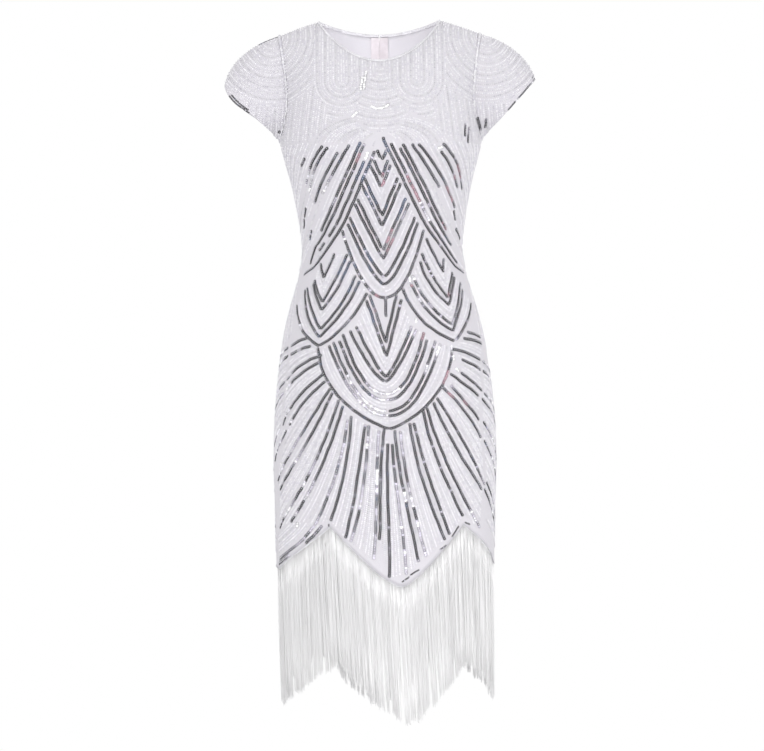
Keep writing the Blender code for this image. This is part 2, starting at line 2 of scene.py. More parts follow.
# # A flapper dress of sequinned net, sewn together in Blender
#
# The dress is white net that carries rows of sequins and seed beads, with a fringe of
# loose threads under a pointed hem.  It is filled out as if somebody wore it, and nobody
# does.  The hard facts, which are its size, its pieces and where they meet, come from the
# frame, so this lesson only has to dress them.  We start by loading that frame.

# %% Load the frame
import itertools
import math
import random
import bmesh
import bpy
import numpy as np
from mathutils import Matrix, Vector
from mathutils.bvhtree import BVHTree


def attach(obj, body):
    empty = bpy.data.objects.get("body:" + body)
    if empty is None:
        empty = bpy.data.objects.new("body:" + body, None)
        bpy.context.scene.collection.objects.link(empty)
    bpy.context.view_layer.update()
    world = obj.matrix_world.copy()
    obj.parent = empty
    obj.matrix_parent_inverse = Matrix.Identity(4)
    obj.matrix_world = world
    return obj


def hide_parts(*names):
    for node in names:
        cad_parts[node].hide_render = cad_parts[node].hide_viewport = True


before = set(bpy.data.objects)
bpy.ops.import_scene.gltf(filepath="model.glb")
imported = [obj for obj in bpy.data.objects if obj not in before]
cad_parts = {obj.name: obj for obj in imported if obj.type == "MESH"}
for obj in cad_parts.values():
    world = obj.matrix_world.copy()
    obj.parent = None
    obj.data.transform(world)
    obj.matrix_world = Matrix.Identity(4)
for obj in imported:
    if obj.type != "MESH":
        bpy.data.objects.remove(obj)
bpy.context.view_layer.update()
MM = 0.001
TINY = 1e-6
print("nodes to dress:", ", ".join(sorted(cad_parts)))

# %% [markdown]
# ## Where we look from
#
# A dress on an invisible stand is usually seen from the front, from a few metres away and
# level with its waist, so that nothing is foreshortened.  A long lens from far off does
# that.  The camera could be set by eye, but it is safer to say how far away it is, how
# much of the dress one picture point covers, and where in the picture the origin falls.

# %% Camera
VIEW_DISTANCE = 3.6
POINT_SIZE = 0.0015             # metres that one picture point covers at the dress
PICTURE = (764, 751)
ORIGIN_AT = (379.3, 22.0)       # picture point where the neck line's middle falls
ROLL = math.radians(-0.75)
SENSOR = 36.0

to_right = Vector((math.cos(ROLL), 0.0, math.sin(ROLL)))
to_top = Vector((-math.sin(ROLL), 0.0, math.cos(ROLL)))
right_by = (ORIGIN_AT[0] - PICTURE[0] / 2) * POINT_SIZE
up_by = (PICTURE[1] / 2 - ORIGIN_AT[1]) * POINT_SIZE
looks_at = -(to_right * right_by + to_top * up_by)

lens = bpy.data.cameras.new("view")
lens.sensor_fit = "HORIZONTAL"
lens.sensor_width = SENSOR
lens.lens = SENSOR * VIEW_DISTANCE / (PICTURE[0] * POINT_SIZE)
lens.clip_end = 30.0
camera = bpy.data.objects.new("view", lens)
bpy.context.scene.collection.objects.link(camera)
turn = Matrix((to_right, to_top, Vector((0.0, -1.0, 0.0)))).transposed().to_4x4()
camera.matrix_world = Matrix.Translation((looks_at.x, -VIEW_DISTANCE, looks_at.z)) @ turn
bpy.context.scene.camera = camera
print("lens", round(lens.lens, 1), "mm, camera at", tuple(round(v, 3) for v in camera.location))

# %% [markdown]
# ## Light and floor
#
# White cloth on white needs very even light, and sequins need something darker to mirror,
# or they vanish.  So the surroundings are white above and a little greyer low down, and
# four large soft lamps model the body.  A fifth, small one stands inside the chest,
# because the inside of a neck is otherwise dark.  The floor is one pale disc, far enough
# below the fringe to stay out of its way.

# %% Surroundings, lamps and floor
scene = bpy.context.scene
scene.view_settings.view_transform = "Standard"
WHITE = (1.0, 1.0, 1.0, 1.0)
LOW_GREY = (0.86, 0.86, 0.88, 1.0)
GREY_UP_TO, WHITE_FROM = 0.30, 0.62     # shares of the way up from straight below
SURROUND = 1.02

world = bpy.data.worlds.new("studio")
scene.world = world
world.use_nodes = True
tree = world.node_tree
tree.nodes.clear()
direction = tree.nodes.new("ShaderNodeTexCoord")
split = tree.nodes.new("ShaderNodeSeparateXYZ")
ramp = tree.nodes.new("ShaderNodeValToRGB")
for stop, position, colour in zip(ramp.color_ramp.elements, (GREY_UP_TO, WHITE_FROM), (LOW_GREY, WHITE)):
    stop.position = position
    stop.color = colour
height = tree.nodes.new("ShaderNodeMapRange")
height.inputs["From Min"].default_value = -1.0
around = tree.nodes.new("ShaderNodeBackground")
around.inputs["Strength"].default_value = SURROUND
plain = tree.nodes.new("ShaderNodeBackground")
plain.inputs["Color"].default_value = WHITE
plain.inputs["Strength"].default_value = 1.0
ray = tree.nodes.new("ShaderNodeLightPath")
choose = tree.nodes.new("ShaderNodeMixShader")
out = tree.nodes.new("ShaderNodeOutputWorld")
tree.links.new(direction.outputs["Generated"], split.inputs[0])
tree.links.new(split.outputs["Z"], height.inputs["Value"])
tree.links.new(height.outputs[0], ramp.inputs[0])
tree.links.new(ramp.outputs[0], around.inputs["Color"])
tree.links.new(ray.outputs["Is Camera Ray"], choose.inputs[0])
tree.links.new(around.outputs[0], choose.inputs[1])
tree.links.new(plain.outputs[0], choose.inputs[2])
tree.links.new(choose.outputs[0], out.inputs["Surface"])

LAMP_COLUMNS = ("name", "place", "aim", "size", "watts")
LAMPS = (
    ("key", (-1.7, -2.6, 0.9), (0.0, 0.0, -0.45), 1.6, 19.0),
    ("fill", (2.1, -2.2, 0.1), (0.0, 0.0, -0.55), 1.8, 17.0),
    ("low", (0.2, -2.4, -1.1), (0.0, 0.0, -0.9), 1.4, 16.0),
    ("back", (0.3, 2.6, 0.6), (0.0, 0.0, -0.45), 1.8, 13.0),
    ("inside", (0.0, -0.015, -0.150), (0.0, 0.075, -0.030), 0.10, 0.22),
)
for row in LAMPS:
    lamp = dict(zip(LAMP_COLUMNS, row))
    light = bpy.data.lights.new(lamp["name"], "AREA")
    light.shape = "DISK"
    light.size = lamp["size"]
    light.energy = lamp["watts"]
    thing = bpy.data.objects.new(lamp["name"], light)
    thing.location = lamp["place"]
    aim = Vector(lamp["aim"]) - Vector(lamp["place"])
    thing.rotation_euler = aim.to_track_quat("-Z", "Y").to_euler()
    scene.collection.objects.link(thing)

FLOOR_Z = -1.5
FLOOR_RADIUS = 1.2
bm = bmesh.new()
bmesh.ops.create_circle(bm, cap_ends=True, segments=96, radius=FLOOR_RADIUS)
bmesh.ops.translate(bm, verts=bm.verts[:], vec=(0.0, 0.0, FLOOR_Z))
bmesh.ops.recalc_face_normals(bm, faces=bm.faces[:])
floor_mesh = bpy.data.meshes.new("floor")
bm.to_mesh(floor_mesh)
bm.free()
floor = bpy.data.objects.new("floor", floor_mesh)
scene.collection.objects.link(floor)
print("lamps:", len(LAMPS), " floor at", FLOOR_Z, "m")

# %% [markdown]
# ## Materials: small helpers
#
# Every finish here is made of nodes, so it stays sharp at any distance.  Two effects come
# back in several finishes, which are a woven surface and a mottled tone, so each is a node
# group of its own.  A group hands out plain values, and the finish decides what they do.

# %% Node helpers and the two shared effects
def add(tree, kind, **settings):
    """Add a node and set its properties, or its unlinked inputs by name."""
    node = tree.nodes.new(kind)
    for name, value in settings.items():
        if hasattr(node, name):
            setattr(node, name, value)
        else:
            node.inputs[name.replace("_", " ")].default_value = value
    return node


def maths(tree, what, a, b=0.5, c=0.5):
    """One calculation.  Only MULTIPLY_ADD uses c, which it adds to a times b."""
    node = add(tree, "ShaderNodeMath", operation=what)
    for socket, value in zip(node.inputs, (a, b, c)):
        if isinstance(value, (int, float)):
            socket.default_value = value
        else:
            tree.links.new(value, socket)
    return node.outputs[0]


def new_group(name, inputs, outputs):
    group = bpy.data.node_groups.new(name, "ShaderNodeTree")
    for label, value in inputs:
        kind = "NodeSocketVector" if value is None else "NodeSocketFloat"
        socket = group.interface.new_socket(label, in_out="INPUT", socket_type=kind)
        if value is not None:
            socket.default_value = value
    for label in outputs:
        group.interface.new_socket(label, in_out="OUTPUT", socket_type="NodeSocketFloat")
    return group, group.nodes.new("NodeGroupInput"), group.nodes.new("NodeGroupOutput")


# Woven surface: two sets of threads that cross, each set a row of rounded ridges.
weave, into, outof = new_group(
    "woven", (("Place", None), ("Threads per metre", 800.0)), ("Height", "Gap"))
axes = add(weave, "ShaderNodeSeparateXYZ")
weave.links.new(into.outputs["Place"], axes.inputs[0])
ridges = []
for axis in ("X", "Y"):
    along = maths(weave, "MULTIPLY", axes.outputs[axis], into.outputs["Threads per metre"])
    swing = maths(weave, "SINE", maths(weave, "MULTIPLY", along, math.tau))
    ridges.append(maths(weave, "POWER", maths(weave, "ABSOLUTE", swing), 0.6))
highest = maths(weave, "MAXIMUM", ridges[0], ridges[1])
lowest = maths(weave, "SUBTRACT", 1.0, highest)
weave.links.new(highest, outof.inputs["Height"])
weave.links.new(lowest, outof.inputs["Gap"])

# Mottle: a soft, uneven tone that can be stretched along the cloth.
mottle, into, outof = new_group("mottle", (("Place", None), ("Scale", 30.0)), ("Tone",))
clouds = add(mottle, "ShaderNodeTexNoise", Detail=3.0, Roughness=0.6)
mottle.links.new(into.outputs["Place"], clouds.inputs["Vector"])
mottle.links.new(into.outputs["Scale"], clouds.inputs["Scale"])
spread = add(mottle, "ShaderNodeMapRange")
spread.inputs["From Min"].default_value = 0.3
spread.inputs["From Max"].default_value = 0.7
mottle.links.new(clouds.outputs["Fac"], spread.inputs["Value"])
mottle.links.new(spread.outputs[0], outof.inputs["Tone"])


def use_group(tree, group, place, **values):
    node = tree.nodes.new("ShaderNodeGroup")
    node.node_tree = group
    tree.links.new(place, node.inputs["Place"])
    for name, value in values.items():
        node.inputs[name.replace("_", " ")].default_value = value
    return node


def new_finish(name, roughness, **more):
    material = bpy.data.materials.new(name)
    material.use_nodes = True
    shader = material.node_tree.nodes["Principled BSDF"]
    shader.inputs["Roughness"].default_value = roughness
    for label, value in more.items():
        shader.inputs[label.replace("_", " ")].default_value = value
    return material, material.node_tree, shader


def tone_between(tree, factor, dark, light):
    """A colour between two, chosen by a value from 0 to 1."""
    node = add(tree, "ShaderNodeMix", data_type="RGBA")
    node.inputs["A"].default_value = (*dark, 1.0)
    node.inputs["B"].default_value = (*light, 1.0)
    tree.links.new(factor, node.inputs["Factor"])
    return node.outputs["Result"]


def own_place(tree):
    """Coordinates of the piece itself, in metres."""
    return add(tree, "ShaderNodeTexCoord").outputs["Object"]


def own_tint(tree):
    """The colour that each sequin, bead or thread carries."""
    return add(tree, "ShaderNodeAttribute", attribute_name="tint").outputs["Color"]


def mapped(tree, source, **settings):
    """Coordinates that are stretched by a Scale or turned by a Rotation."""
    node = add(tree, "ShaderNodeMapping")
    for label, value in settings.items():
        node.inputs[label].default_value = value
    tree.links.new(source, node.inputs["Vector"])
    return node.outputs[0]


def feed(tree, shader, **sources):
    for label, source in sources.items():
        tree.links.new(source, shader.inputs[label.replace("_", " ")])


def raise_by(tree, shader, height, distance, strength=1.0):
    bump = add(tree, "ShaderNodeBump", Strength=strength, Distance=distance)
    tree.links.new(height, bump.inputs["Height"])
    tree.links.new(bump.outputs[0], shader.inputs["Normal"])


print("shared effects:", [group.name for group in bpy.data.node_groups])

# %% [markdown]
# ## Materials: cloth, metal and thread
#
# The net is a fine knitted ground, hardly darker than its beads, with faint upright
# streaks where the beading has drawn it in.  A sequin is a little dish of coated plastic
# that mirrors the room, so it is metallic, and each one carries a colour of its own as an
# attribute, which is a painted reflection, from near black through grey, blue and pink to
# white.  The seed bead that holds it is pearly.  Fringe thread is glossy twisted
# viscose, and the zip is plastic coil on a woven tape with a painted metal slider.

# %% Finishes
def make_net():
    material, tree, shader = new_finish("sequinned_net", 0.62, Sheen_Weight=0.25, Sheen_Roughness=0.5)
    uv = add(tree, "ShaderNodeUVMap", uv_map="cloth").outputs[0]
    threads = use_group(tree, weave, uv, Threads_per_metre=560.0)
    streak = use_group(tree, mottle, mapped(tree, uv, Scale=(300.0, 9.0, 1.0)), Scale=1.0)
    cloud = use_group(tree, mottle, uv, Scale=14.0)
    pulled = maths(tree, "MULTIPLY", streak.outputs["Tone"], 0.45)
    cloudy = maths(tree, "MULTIPLY", cloud.outputs["Tone"], 0.3)
    light = maths(tree, "ADD", maths(tree, "MULTIPLY", pulled, 0.4), cloudy)
    seen = maths(tree, "SUBTRACT", light, maths(tree, "MULTIPLY", threads.outputs["Gap"], 0.35))
    lifted = maths(tree, "ADD", seen, 0.10)
    colour = tone_between(tree, lifted, (0.490, 0.472, 0.510), (0.770, 0.755, 0.792))
    feed(tree, shader, Base_Color=colour)
    height = maths(tree, "ADD", threads.outputs["Height"], maths(tree, "MULTIPLY", pulled, 1.2))
    raise_by(tree, shader, height, 0.00022, 0.6)
    return material


def make_sequin_foil():
    material, tree, shader = new_finish("sequin_foil", 0.22, Specular_IOR_Level=0.6)
    foil = add(tree, "ShaderNodeAttribute", attribute_name="foil").outputs["Fac"]
    worn = use_group(tree, mottle, own_place(tree), Scale=900.0)
    dull = maths(tree, "MULTIPLY_ADD", worn.outputs["Tone"], 0.16, 0.16)
    # The base colour is each sequin's tint, a painted reflection of the room.
    feed(tree, shader, Base_Color=own_tint(tree), Metallic=foil, Roughness=dull)
    raise_by(tree, shader, worn.outputs["Tone"], 0.0001, 0.35)
    return material


def make_seed_bead():
    material, tree, shader = new_finish("seed_bead", 0.28, Coat_Weight=0.5, Coat_Roughness=0.15)
    milky = use_group(tree, mottle, own_place(tree), Scale=500.0)
    warm = tone_between(tree, milky.outputs["Tone"], (0.86, 0.84, 0.88), (0.98, 0.98, 0.98))
    mixed = add(tree, "ShaderNodeMix", data_type="RGBA", blend_type="MULTIPLY")
    mixed.inputs["Factor"].default_value = 1.0
    feed(tree, mixed, A=own_tint(tree), B=warm)
    dull = maths(tree, "MULTIPLY_ADD", milky.outputs["Tone"], 0.15)
    feed(tree, shader, Base_Color=mixed.outputs["Result"], Roughness=dull)
    return material


def make_fringe_thread():
    material, tree, shader = new_finish("fringe_yarn", 0.42, Sheen_Weight=0.4)
    place = own_place(tree)
    ply = add(tree, "ShaderNodeTexWave", wave_type="BANDS", bands_direction="Z", Scale=220.0, Distortion=0.8)
    slant = mapped(tree, place, Rotation=(0.0, math.radians(40.0), 0.0))
    tree.links.new(slant, ply.inputs["Vector"])
    uneven = use_group(tree, mottle, place, Scale=140.0)
    dull = maths(tree, "MULTIPLY_ADD", uneven.outputs["Tone"], 0.2)
    feed(tree, shader, Base_Color=own_tint(tree), Roughness=dull)
    raise_by(tree, shader, ply.outputs["Fac"], 0.00012, 0.6)
    return material


def make_woven(name, dark, light, threads, roughness):
    """Plain woven ribbon, such as the zip's tape or the neck's binding."""
    material, tree, shader = new_finish(name, roughness, Sheen_Weight=0.3)
    place = own_place(tree)
    turned = mapped(tree, place, Rotation=(math.radians(-90.0), 0.0, math.radians(38.0)))
    cloth = use_group(tree, weave, turned, Threads_per_metre=threads)
    gap = cloth.outputs["Gap"]
    uneven = use_group(tree, mottle, place, Scale=60.0)
    shade = maths(tree, "SUBTRACT", uneven.outputs["Tone"], maths(tree, "MULTIPLY", gap, 0.5))
    dull = maths(tree, "MULTIPLY_ADD", gap, 0.15, roughness)
    feed(tree, shader, Base_Color=tone_between(tree, shade, dark, light), Roughness=dull)
    raise_by(tree, shader, cloth.outputs["Height"], 0.0001, 0.8)
    return material


def make_coil_plastic():
    material, tree, shader = new_finish("zip_teeth", 0.35, Coat_Weight=0.2)
    tone = use_group(tree, mottle, own_place(tree), Scale=180.0).outputs["Tone"]
    colour = tone_between(tree, tone, (0.74, 0.74, 0.77), (0.84, 0.84, 0.86))
    feed(tree, shader, Base_Color=colour, Roughness=maths(tree, "MULTIPLY_ADD", tone, 0.2))
    return material


def make_painted_metal():
    """White lacquer on a die-cast slider, rubbed thin so that the metal shows in places."""
    material, tree, shader = new_finish("zip_metal", 0.3)
    rub = use_group(tree, mottle, own_place(tree), Scale=420.0).outputs["Tone"]
    worn = maths(tree, "GREATER_THAN", rub, 0.86)
    colour = tone_between(tree, worn, (0.80, 0.80, 0.82), (0.48, 0.47, 0.46))
    dull = maths(tree, "MULTIPLY_ADD", rub, 0.25)
    feed(tree, shader, Base_Color=colour, Metallic=worn, Roughness=dull)
    raise_by(tree, shader, rub, 0.00004, 0.5)
    return material


def make_floor_paint():
    material, tree, shader = new_finish("floor_paint", 0.8)
    cloud = use_group(tree, mottle, own_place(tree), Scale=3.0)
    colour = tone_between(tree, cloud.outputs["Tone"], (0.80, 0.80, 0.80), (0.84, 0.84, 0.84))
    feed(tree, shader, Base_Color=colour)
    return material


net = make_net()
foil = make_sequin_foil()
seed_bead = make_seed_bead()
thread = make_fringe_thread()
binding_satin = make_woven("neck_binding", (0.54, 0.53, 0.56), (0.72, 0.71, 0.74), 900.0, 0.6)
hem_satin = make_woven("hem_cord", (0.42, 0.41, 0.44), (0.70, 0.69, 0.72), 500.0, 0.6)
braid_cotton = make_woven("fringe_braid", (0.78, 0.78, 0.80), (0.90, 0.90, 0.91), 800.0, 0.6)
tape_weave = make_woven("zip_tape", (0.50, 0.455, 0.485), (0.64, 0.595, 0.625), 700.0, 0.75)
coil_plastic = make_coil_plastic()
painted_metal = make_painted_metal()
floor_mesh.materials.append(make_floor_paint())
print("finishes:", len(bpy.data.materials))

# %% [markdown]
# ## The form of the dress
#
# A dress is easiest to describe as rings.  At each height the body has a half width, a
# depth in front and behind, and a squareness between an oval and a box.  From the chest
# up, the cloth leaves its last ring and leans in to the neck and the shoulders.  These are
# the same tables that the dress was cut from, so the looks and the solids agree, and the
# functions take fractions of a column or a row, so that the cloth can be as fine as we
# like.

# %% Sizes and rings, in millimetres
NECK_HALF_WIDTH = 93.0
NECK_FRONT_DEPTH = 75.0
NECK_BACK_DEPTH = 58.0
NECK_FRONT_DROP = 69.0
NECK_BACK_DROP = 15.0
NECK_OPENING = 1.4
SHOULDER_END = Vector((150.0, 0.0, -20.0))
CHEST_Z = -119.0
UNDERARM_Z = -178.0
ARMHOLE_ANGLE = 66.0
SLEEVE_TIP = Vector((232.0, 0.0, -90.0))
SLEEVE_UNDERARM = Vector((157.0, 0.0, -171.0))
SLEEVE_HALF_DEPTH = 59.0
HEM_WAY = Vector((0.74, 0.0, -0.68))    # out and down, square to a sleeve's hem
HEM_TILT = 3.2                  # a sleeve's hem hangs lower in front and higher behind
LOBE_RISE, LOBE_AT, LOBE_SPREAD, LOBE_START = 9.0, 0.36, 0.20, 0.12
HEM_FRONT_POINT = -838.0
HEM_SIDE_POINT = -815.0
HEM_PEAK = -750.0
HEM_PEAK_ANGLE = 35.5
HEM_SIDE_CURVE = 1.35
HEM_POINT_ROUNDING = 0.12
ZIP_END_Z = -520.0
ZIP_TEETH_WIDTH = 4.0

RING_COLUMNS = ("z", "half_width", "front", "back", "square", "turn")
RINGS = (
    (-80.0, 150.0, 90.0, 88.0, 2.60, 0.0),
    (-119.0, 148.0, 101.0, 96.0, 2.50, 0.0),
    (-150.0, 149.5, 111.0, 100.0, 2.40, 0.0),
    (-178.0, 150.5, 117.0, 101.5, 2.30, 0.0),
    (-207.0, 144.0, 119.0, 100.0, 2.25, 0.0),
    (-237.0, 136.0, 114.0, 96.0, 2.20, 0.2),
    (-267.0, 129.5, 105.0, 91.0, 2.15, 0.4),
    (-300.0, 124.0, 96.0, 86.0, 2.10, 0.7),
    (-342.0, 120.0, 90.0, 82.0, 2.10, 1.0),
    (-387.0, 127.5, 94.0, 90.0, 2.10, 1.2),
    (-432.0, 140.0, 100.0, 102.0, 2.15, 1.5),
    (-477.0, 151.0, 105.0, 113.0, 2.15, 1.8),
    (-537.0, 159.5, 110.0, 124.0, 2.15, 2.2),
    (-597.0, 165.0, 111.0, 128.0, 2.15, 3.0),
    (-660.0, 166.5, 109.0, 125.0, 2.15, 4.6),
    (-720.0, 164.5, 106.0, 120.0, 2.15, 6.4),
    (-780.0, 163.5, 104.0, 117.0, 2.15, 7.2),
    (-850.0, 162.5, 102.0, 115.0, 2.15, 6.4),
)
WAVE_TOP_Z, WAVE_ONSET = -560.0, 1.3
WAVE_COLUMNS = ("angle", "swell", "spread")
WAVES = (
    (-68.0, 3.5, 11.0), (-40.0, -3.0, 12.0), (-12.0, 2.0, 10.0), (22.0, -2.5, 12.0),
    (50.0, 3.0, 11.0), (76.0, -2.5, 9.0), (112.0, 3.5, 13.0), (146.0, -3.0, 12.0),
    (-164.0, 3.0, 14.0), (-128.0, -3.5, 13.0), (-100.0, 2.5, 9.0),
)
NECK_CURVE_FRONT, NECK_CURVE_BACK = 1.75, 2.6       # higher is flatter in the middle
NECK_LEAN_FRONT = 58.0
NECK_LEAN_BACK = 70.0
NECK_POINT_LEAN = 12.0
SHOULDER_LEAN = 4.0
LEAN_CURVE, SHOULDER_CURVE = 1.4, 1.15
YOKE_FULLNESS = 1.08
RISE_OVER = 4.0                 # the yoke leaves its ring as the body rises over this height
EVEN_SHARE = 0.6                # columns stand partly even round the body, partly plumb
SLEEVE_COLUMNS = ("round", "leave_x", "leave_out", "leave_z", "reach_x", "reach_out", "reach_z")
SLEEVE_LEANS = (
    (0.00, 0.97, 0.00, -0.24, 0.18, 0.00, -0.98),
    (0.25, 0.92, 0.24, -0.30, 0.45, 0.20, -0.87),
    (0.50, 0.84, 0.38, -0.38, 0.74, 0.05, -0.67),
    (0.75, 0.78, 0.46, -0.20, 0.80, -0.22, -0.55),
    (1.00, 0.65, 0.00, 0.75, 0.65, 0.00, 0.75),
)
NECK_STEPS, SHOULDER_STEPS, ARMHOLE_LOWER_STEPS, ARMHOLE_UPPER_STEPS = 8, 3, 5, 5
YOKE_COLUMNS = NECK_STEPS + SHOULDER_STEPS
QUARTER = YOKE_COLUMNS + ARMHOLE_LOWER_STEPS
CHEST_ROW = 23
TOP_ROW = CHEST_ROW + ARMHOLE_UPPER_STEPS
SLEEVE_STEPS = 5
SLEEVE_AROUND = 2 * (ARMHOLE_UPPER_STEPS + ARMHOLE_LOWER_STEPS)


def as_rows(columns, rows):
    return [dict(zip(columns, row)) for row in rows]


def mix(a, b, t):
    return a + (b - a) * t


def shares(count):
    """Even shares from 0 to 1, both ends included."""
    return [n / count for n in range(count + 1)]


def hermite(start, start_pull, end, end_pull, t):
    return (
        start * (2 * t ** 3 - 3 * t ** 2 + 1)
        + start_pull * (t ** 3 - 2 * t ** 2 + t)
        + end * (3 * t ** 2 - 2 * t ** 3)
        + end_pull * (t ** 3 - t ** 2)
    )


def read_table(rows, key, value):
    """Smoothly read every column of a table, sorted by its key column, at one value."""
    value = max(rows[0][key], min(rows[-1][key], value))
    i = 0
    while i < len(rows) - 2 and value > rows[i + 1][key]:
        i += 1
    low, high = rows[i], rows[i + 1]
    span = high[key] - low[key]
    t = (value - low[key]) / span
    before = rows[max(i - 1, 0)]
    after = rows[min(i + 2, len(rows) - 1)]
    result = {}
    for name in low:
        rise_low = (high[name] - before[name]) / (high[key] - before[key])
        rise_high = (after[name] - low[name]) / (after[key] - low[key])
        result[name] = hermite(low[name], rise_low * span, high[name], rise_high * span, t)
    return result


def signed_power(value, power):
    return math.copysign(abs(value) ** power, value)


ring_table = sorted(as_rows(RING_COLUMNS, RINGS), key=lambda row: row["z"])
wave_table = as_rows(WAVE_COLUMNS, WAVES)
sleeve_table = as_rows(SLEEVE_COLUMNS, SLEEVE_LEANS)
print("rings:", len(ring_table), " waves:", len(wave_table))


# %% Points of the body and of a sleeve
def wave_at(angle, z):
    depth = max(0.0, (WAVE_TOP_Z - z) / (WAVE_TOP_Z - HEM_FRONT_POINT))
    total = 0.0
    for wave in wave_table:
        off = (angle - wave["angle"] + 180.0) % 360.0 - 180.0
        total += wave["swell"] * math.exp(-((off / wave["spread"]) ** 2))
    return total * depth ** WAVE_ONSET


def ring_point(angle, z):
    """A point of the body.  The angle is measured on the cloth: 0 front, 90 wearer's left."""
    ring = read_table(ring_table, "z", z)
    turned = math.radians(angle + ring["turn"])
    power = 2.0 / ring["square"]
    depth = ring["front"] if math.cos(turned) > 0 else ring["back"]
    flat = Vector((
        ring["half_width"] * signed_power(math.sin(turned), power),
        -depth * signed_power(math.cos(turned), power),
        0.0,
    ))
    flat += flat.normalized() * wave_at(angle, z)
    return Vector((flat.x, flat.y, z))


def hem_height(angle):
    """Height of the pointed hem: four points, with four peaks between them."""
    from_front = abs((angle + 180.0) % 360.0 - 180.0)
    from_middle = min(from_front, 180.0 - from_front)
    if from_middle < HEM_PEAK_ANGLE:
        point, u = HEM_FRONT_POINT, from_middle / HEM_PEAK_ANGLE
    else:
        point = HEM_SIDE_POINT
        u = ((90.0 - from_middle) / (90.0 - HEM_PEAK_ANGLE)) ** HEM_SIDE_CURVE
    r = HEM_POINT_ROUNDING
    rise = (math.sqrt(u * u + r * r) - r) / (math.sqrt(1 + r * r) - r)
    return mix(point, HEM_PEAK, rise)


CHEST_HALF_WIDTH = read_table(ring_table, "z", CHEST_Z)["half_width"]


def armhole_turn(i):
    """Quarter turn that a column's foot makes under the arm, in radians."""
    return (i - YOKE_COLUMNS) / ARMHOLE_LOWER_STEPS * math.pi / 2


def column_angle(i):
    """Angle on the chest ring of a column, counted from the centre line to the side."""
    if i <= NECK_STEPS:
        top = math.degrees(math.asin(NECK_HALF_WIDTH / CHEST_HALF_WIDTH))
        even = i / NECK_STEPS
        plumb = math.asin(math.sin(even * math.pi / 2) * math.sin(math.radians(top)))
        return EVEN_SHARE * even * top + (1.0 - EVEN_SHARE) * math.degrees(plumb)
    if i <= YOKE_COLUMNS:
        return mix(column_angle(NECK_STEPS), ARMHOLE_ANGLE, (i - NECK_STEPS) / SHOULDER_STEPS)
    return mix(ARMHOLE_ANGLE, 90.0, 1 - math.cos(armhole_turn(i)))


def column_chest_top(i):
    if i <= YOKE_COLUMNS:
        return CHEST_Z
    return mix(CHEST_Z, UNDERARM_Z, math.sin(armhole_turn(i)))


def top_edge(i, back):
    """Point of the neck or the shoulder seam that a yoke column ends on, and its lean."""
    towards = -1.0 if back else 1.0
    if i <= NECK_STEPS:
        u = i / NECK_STEPS
        depth, drop, power = NECK_FRONT_DEPTH, NECK_FRONT_DROP, NECK_CURVE_FRONT
        if back:
            depth, drop, power = NECK_BACK_DEPTH, NECK_BACK_DROP, NECK_CURVE_BACK
        cosine = max(math.cos(u * math.pi / 2), 0.0)
        across = NECK_HALF_WIDTH * math.sin(u * math.pi / 2)
        point = Vector((across, -towards * depth * cosine, -drop * cosine ** power))
        lean = mix(NECK_LEAN_BACK if back else NECK_LEAN_FRONT, NECK_POINT_LEAN, u ** LEAN_CURVE)
    else:
        u = (i - NECK_STEPS) / SHOULDER_STEPS
        point = Vector((NECK_HALF_WIDTH, 0.0, 0.0)).lerp(SHOULDER_END, u)
        point.z = SHOULDER_END.z * u ** SHOULDER_CURVE
        lean = mix(NECK_POINT_LEAN, SHOULDER_LEAN, u)
    lean = math.radians(lean)
    return point, Vector((0.0, towards * math.cos(lean), math.sin(lean)))


def cloth_angle(i, left, back):
    angle = column_angle(i)
    return (1 if left else -1) * (180.0 - angle if back else angle)


def body_point(i, j, left, back):
    """Point of one quarter of the body: column i from the centre, row j from the hem."""
    angle = cloth_angle(i, left, back)
    if j <= CHEST_ROW:
        low = hem_height(angle)
        return ring_point(angle, mix(low, column_chest_top(i), j / CHEST_ROW))
    start = ring_point(angle, CHEST_Z)
    rise = (ring_point(angle, CHEST_Z + RISE_OVER) - start).normalized()
    end, lean = top_edge(i, back)
    if not left:
        end.x = -end.x
    pull = (end - start).length * YOKE_FULLNESS
    return hermite(start, rise * pull, end, lean * pull, (j - CHEST_ROW) / ARMHOLE_UPPER_STEPS)


def armhole_place(k):
    """Column, row and side of the body that the armhole passes at step k of its way round."""
    upper, half = ARMHOLE_UPPER_STEPS, SLEEVE_AROUND / 2
    back = k > half
    if back:
        k = SLEEVE_AROUND - k
    if k <= upper:
        return YOKE_COLUMNS, TOP_ROW - k, back
    return YOKE_COLUMNS + k - upper, CHEST_ROW, back


def armhole_point(k, left):
    i, j, back = armhole_place(k)
    return body_point(i, j, left, back)


def armhole_lengths(left):
    half = SLEEVE_AROUND // 2
    lengths = [0.0]
    for k in range(half):
        lengths.append(lengths[-1] + (armhole_point(k + 1, left) - armhole_point(k, left)).length)
    return lengths


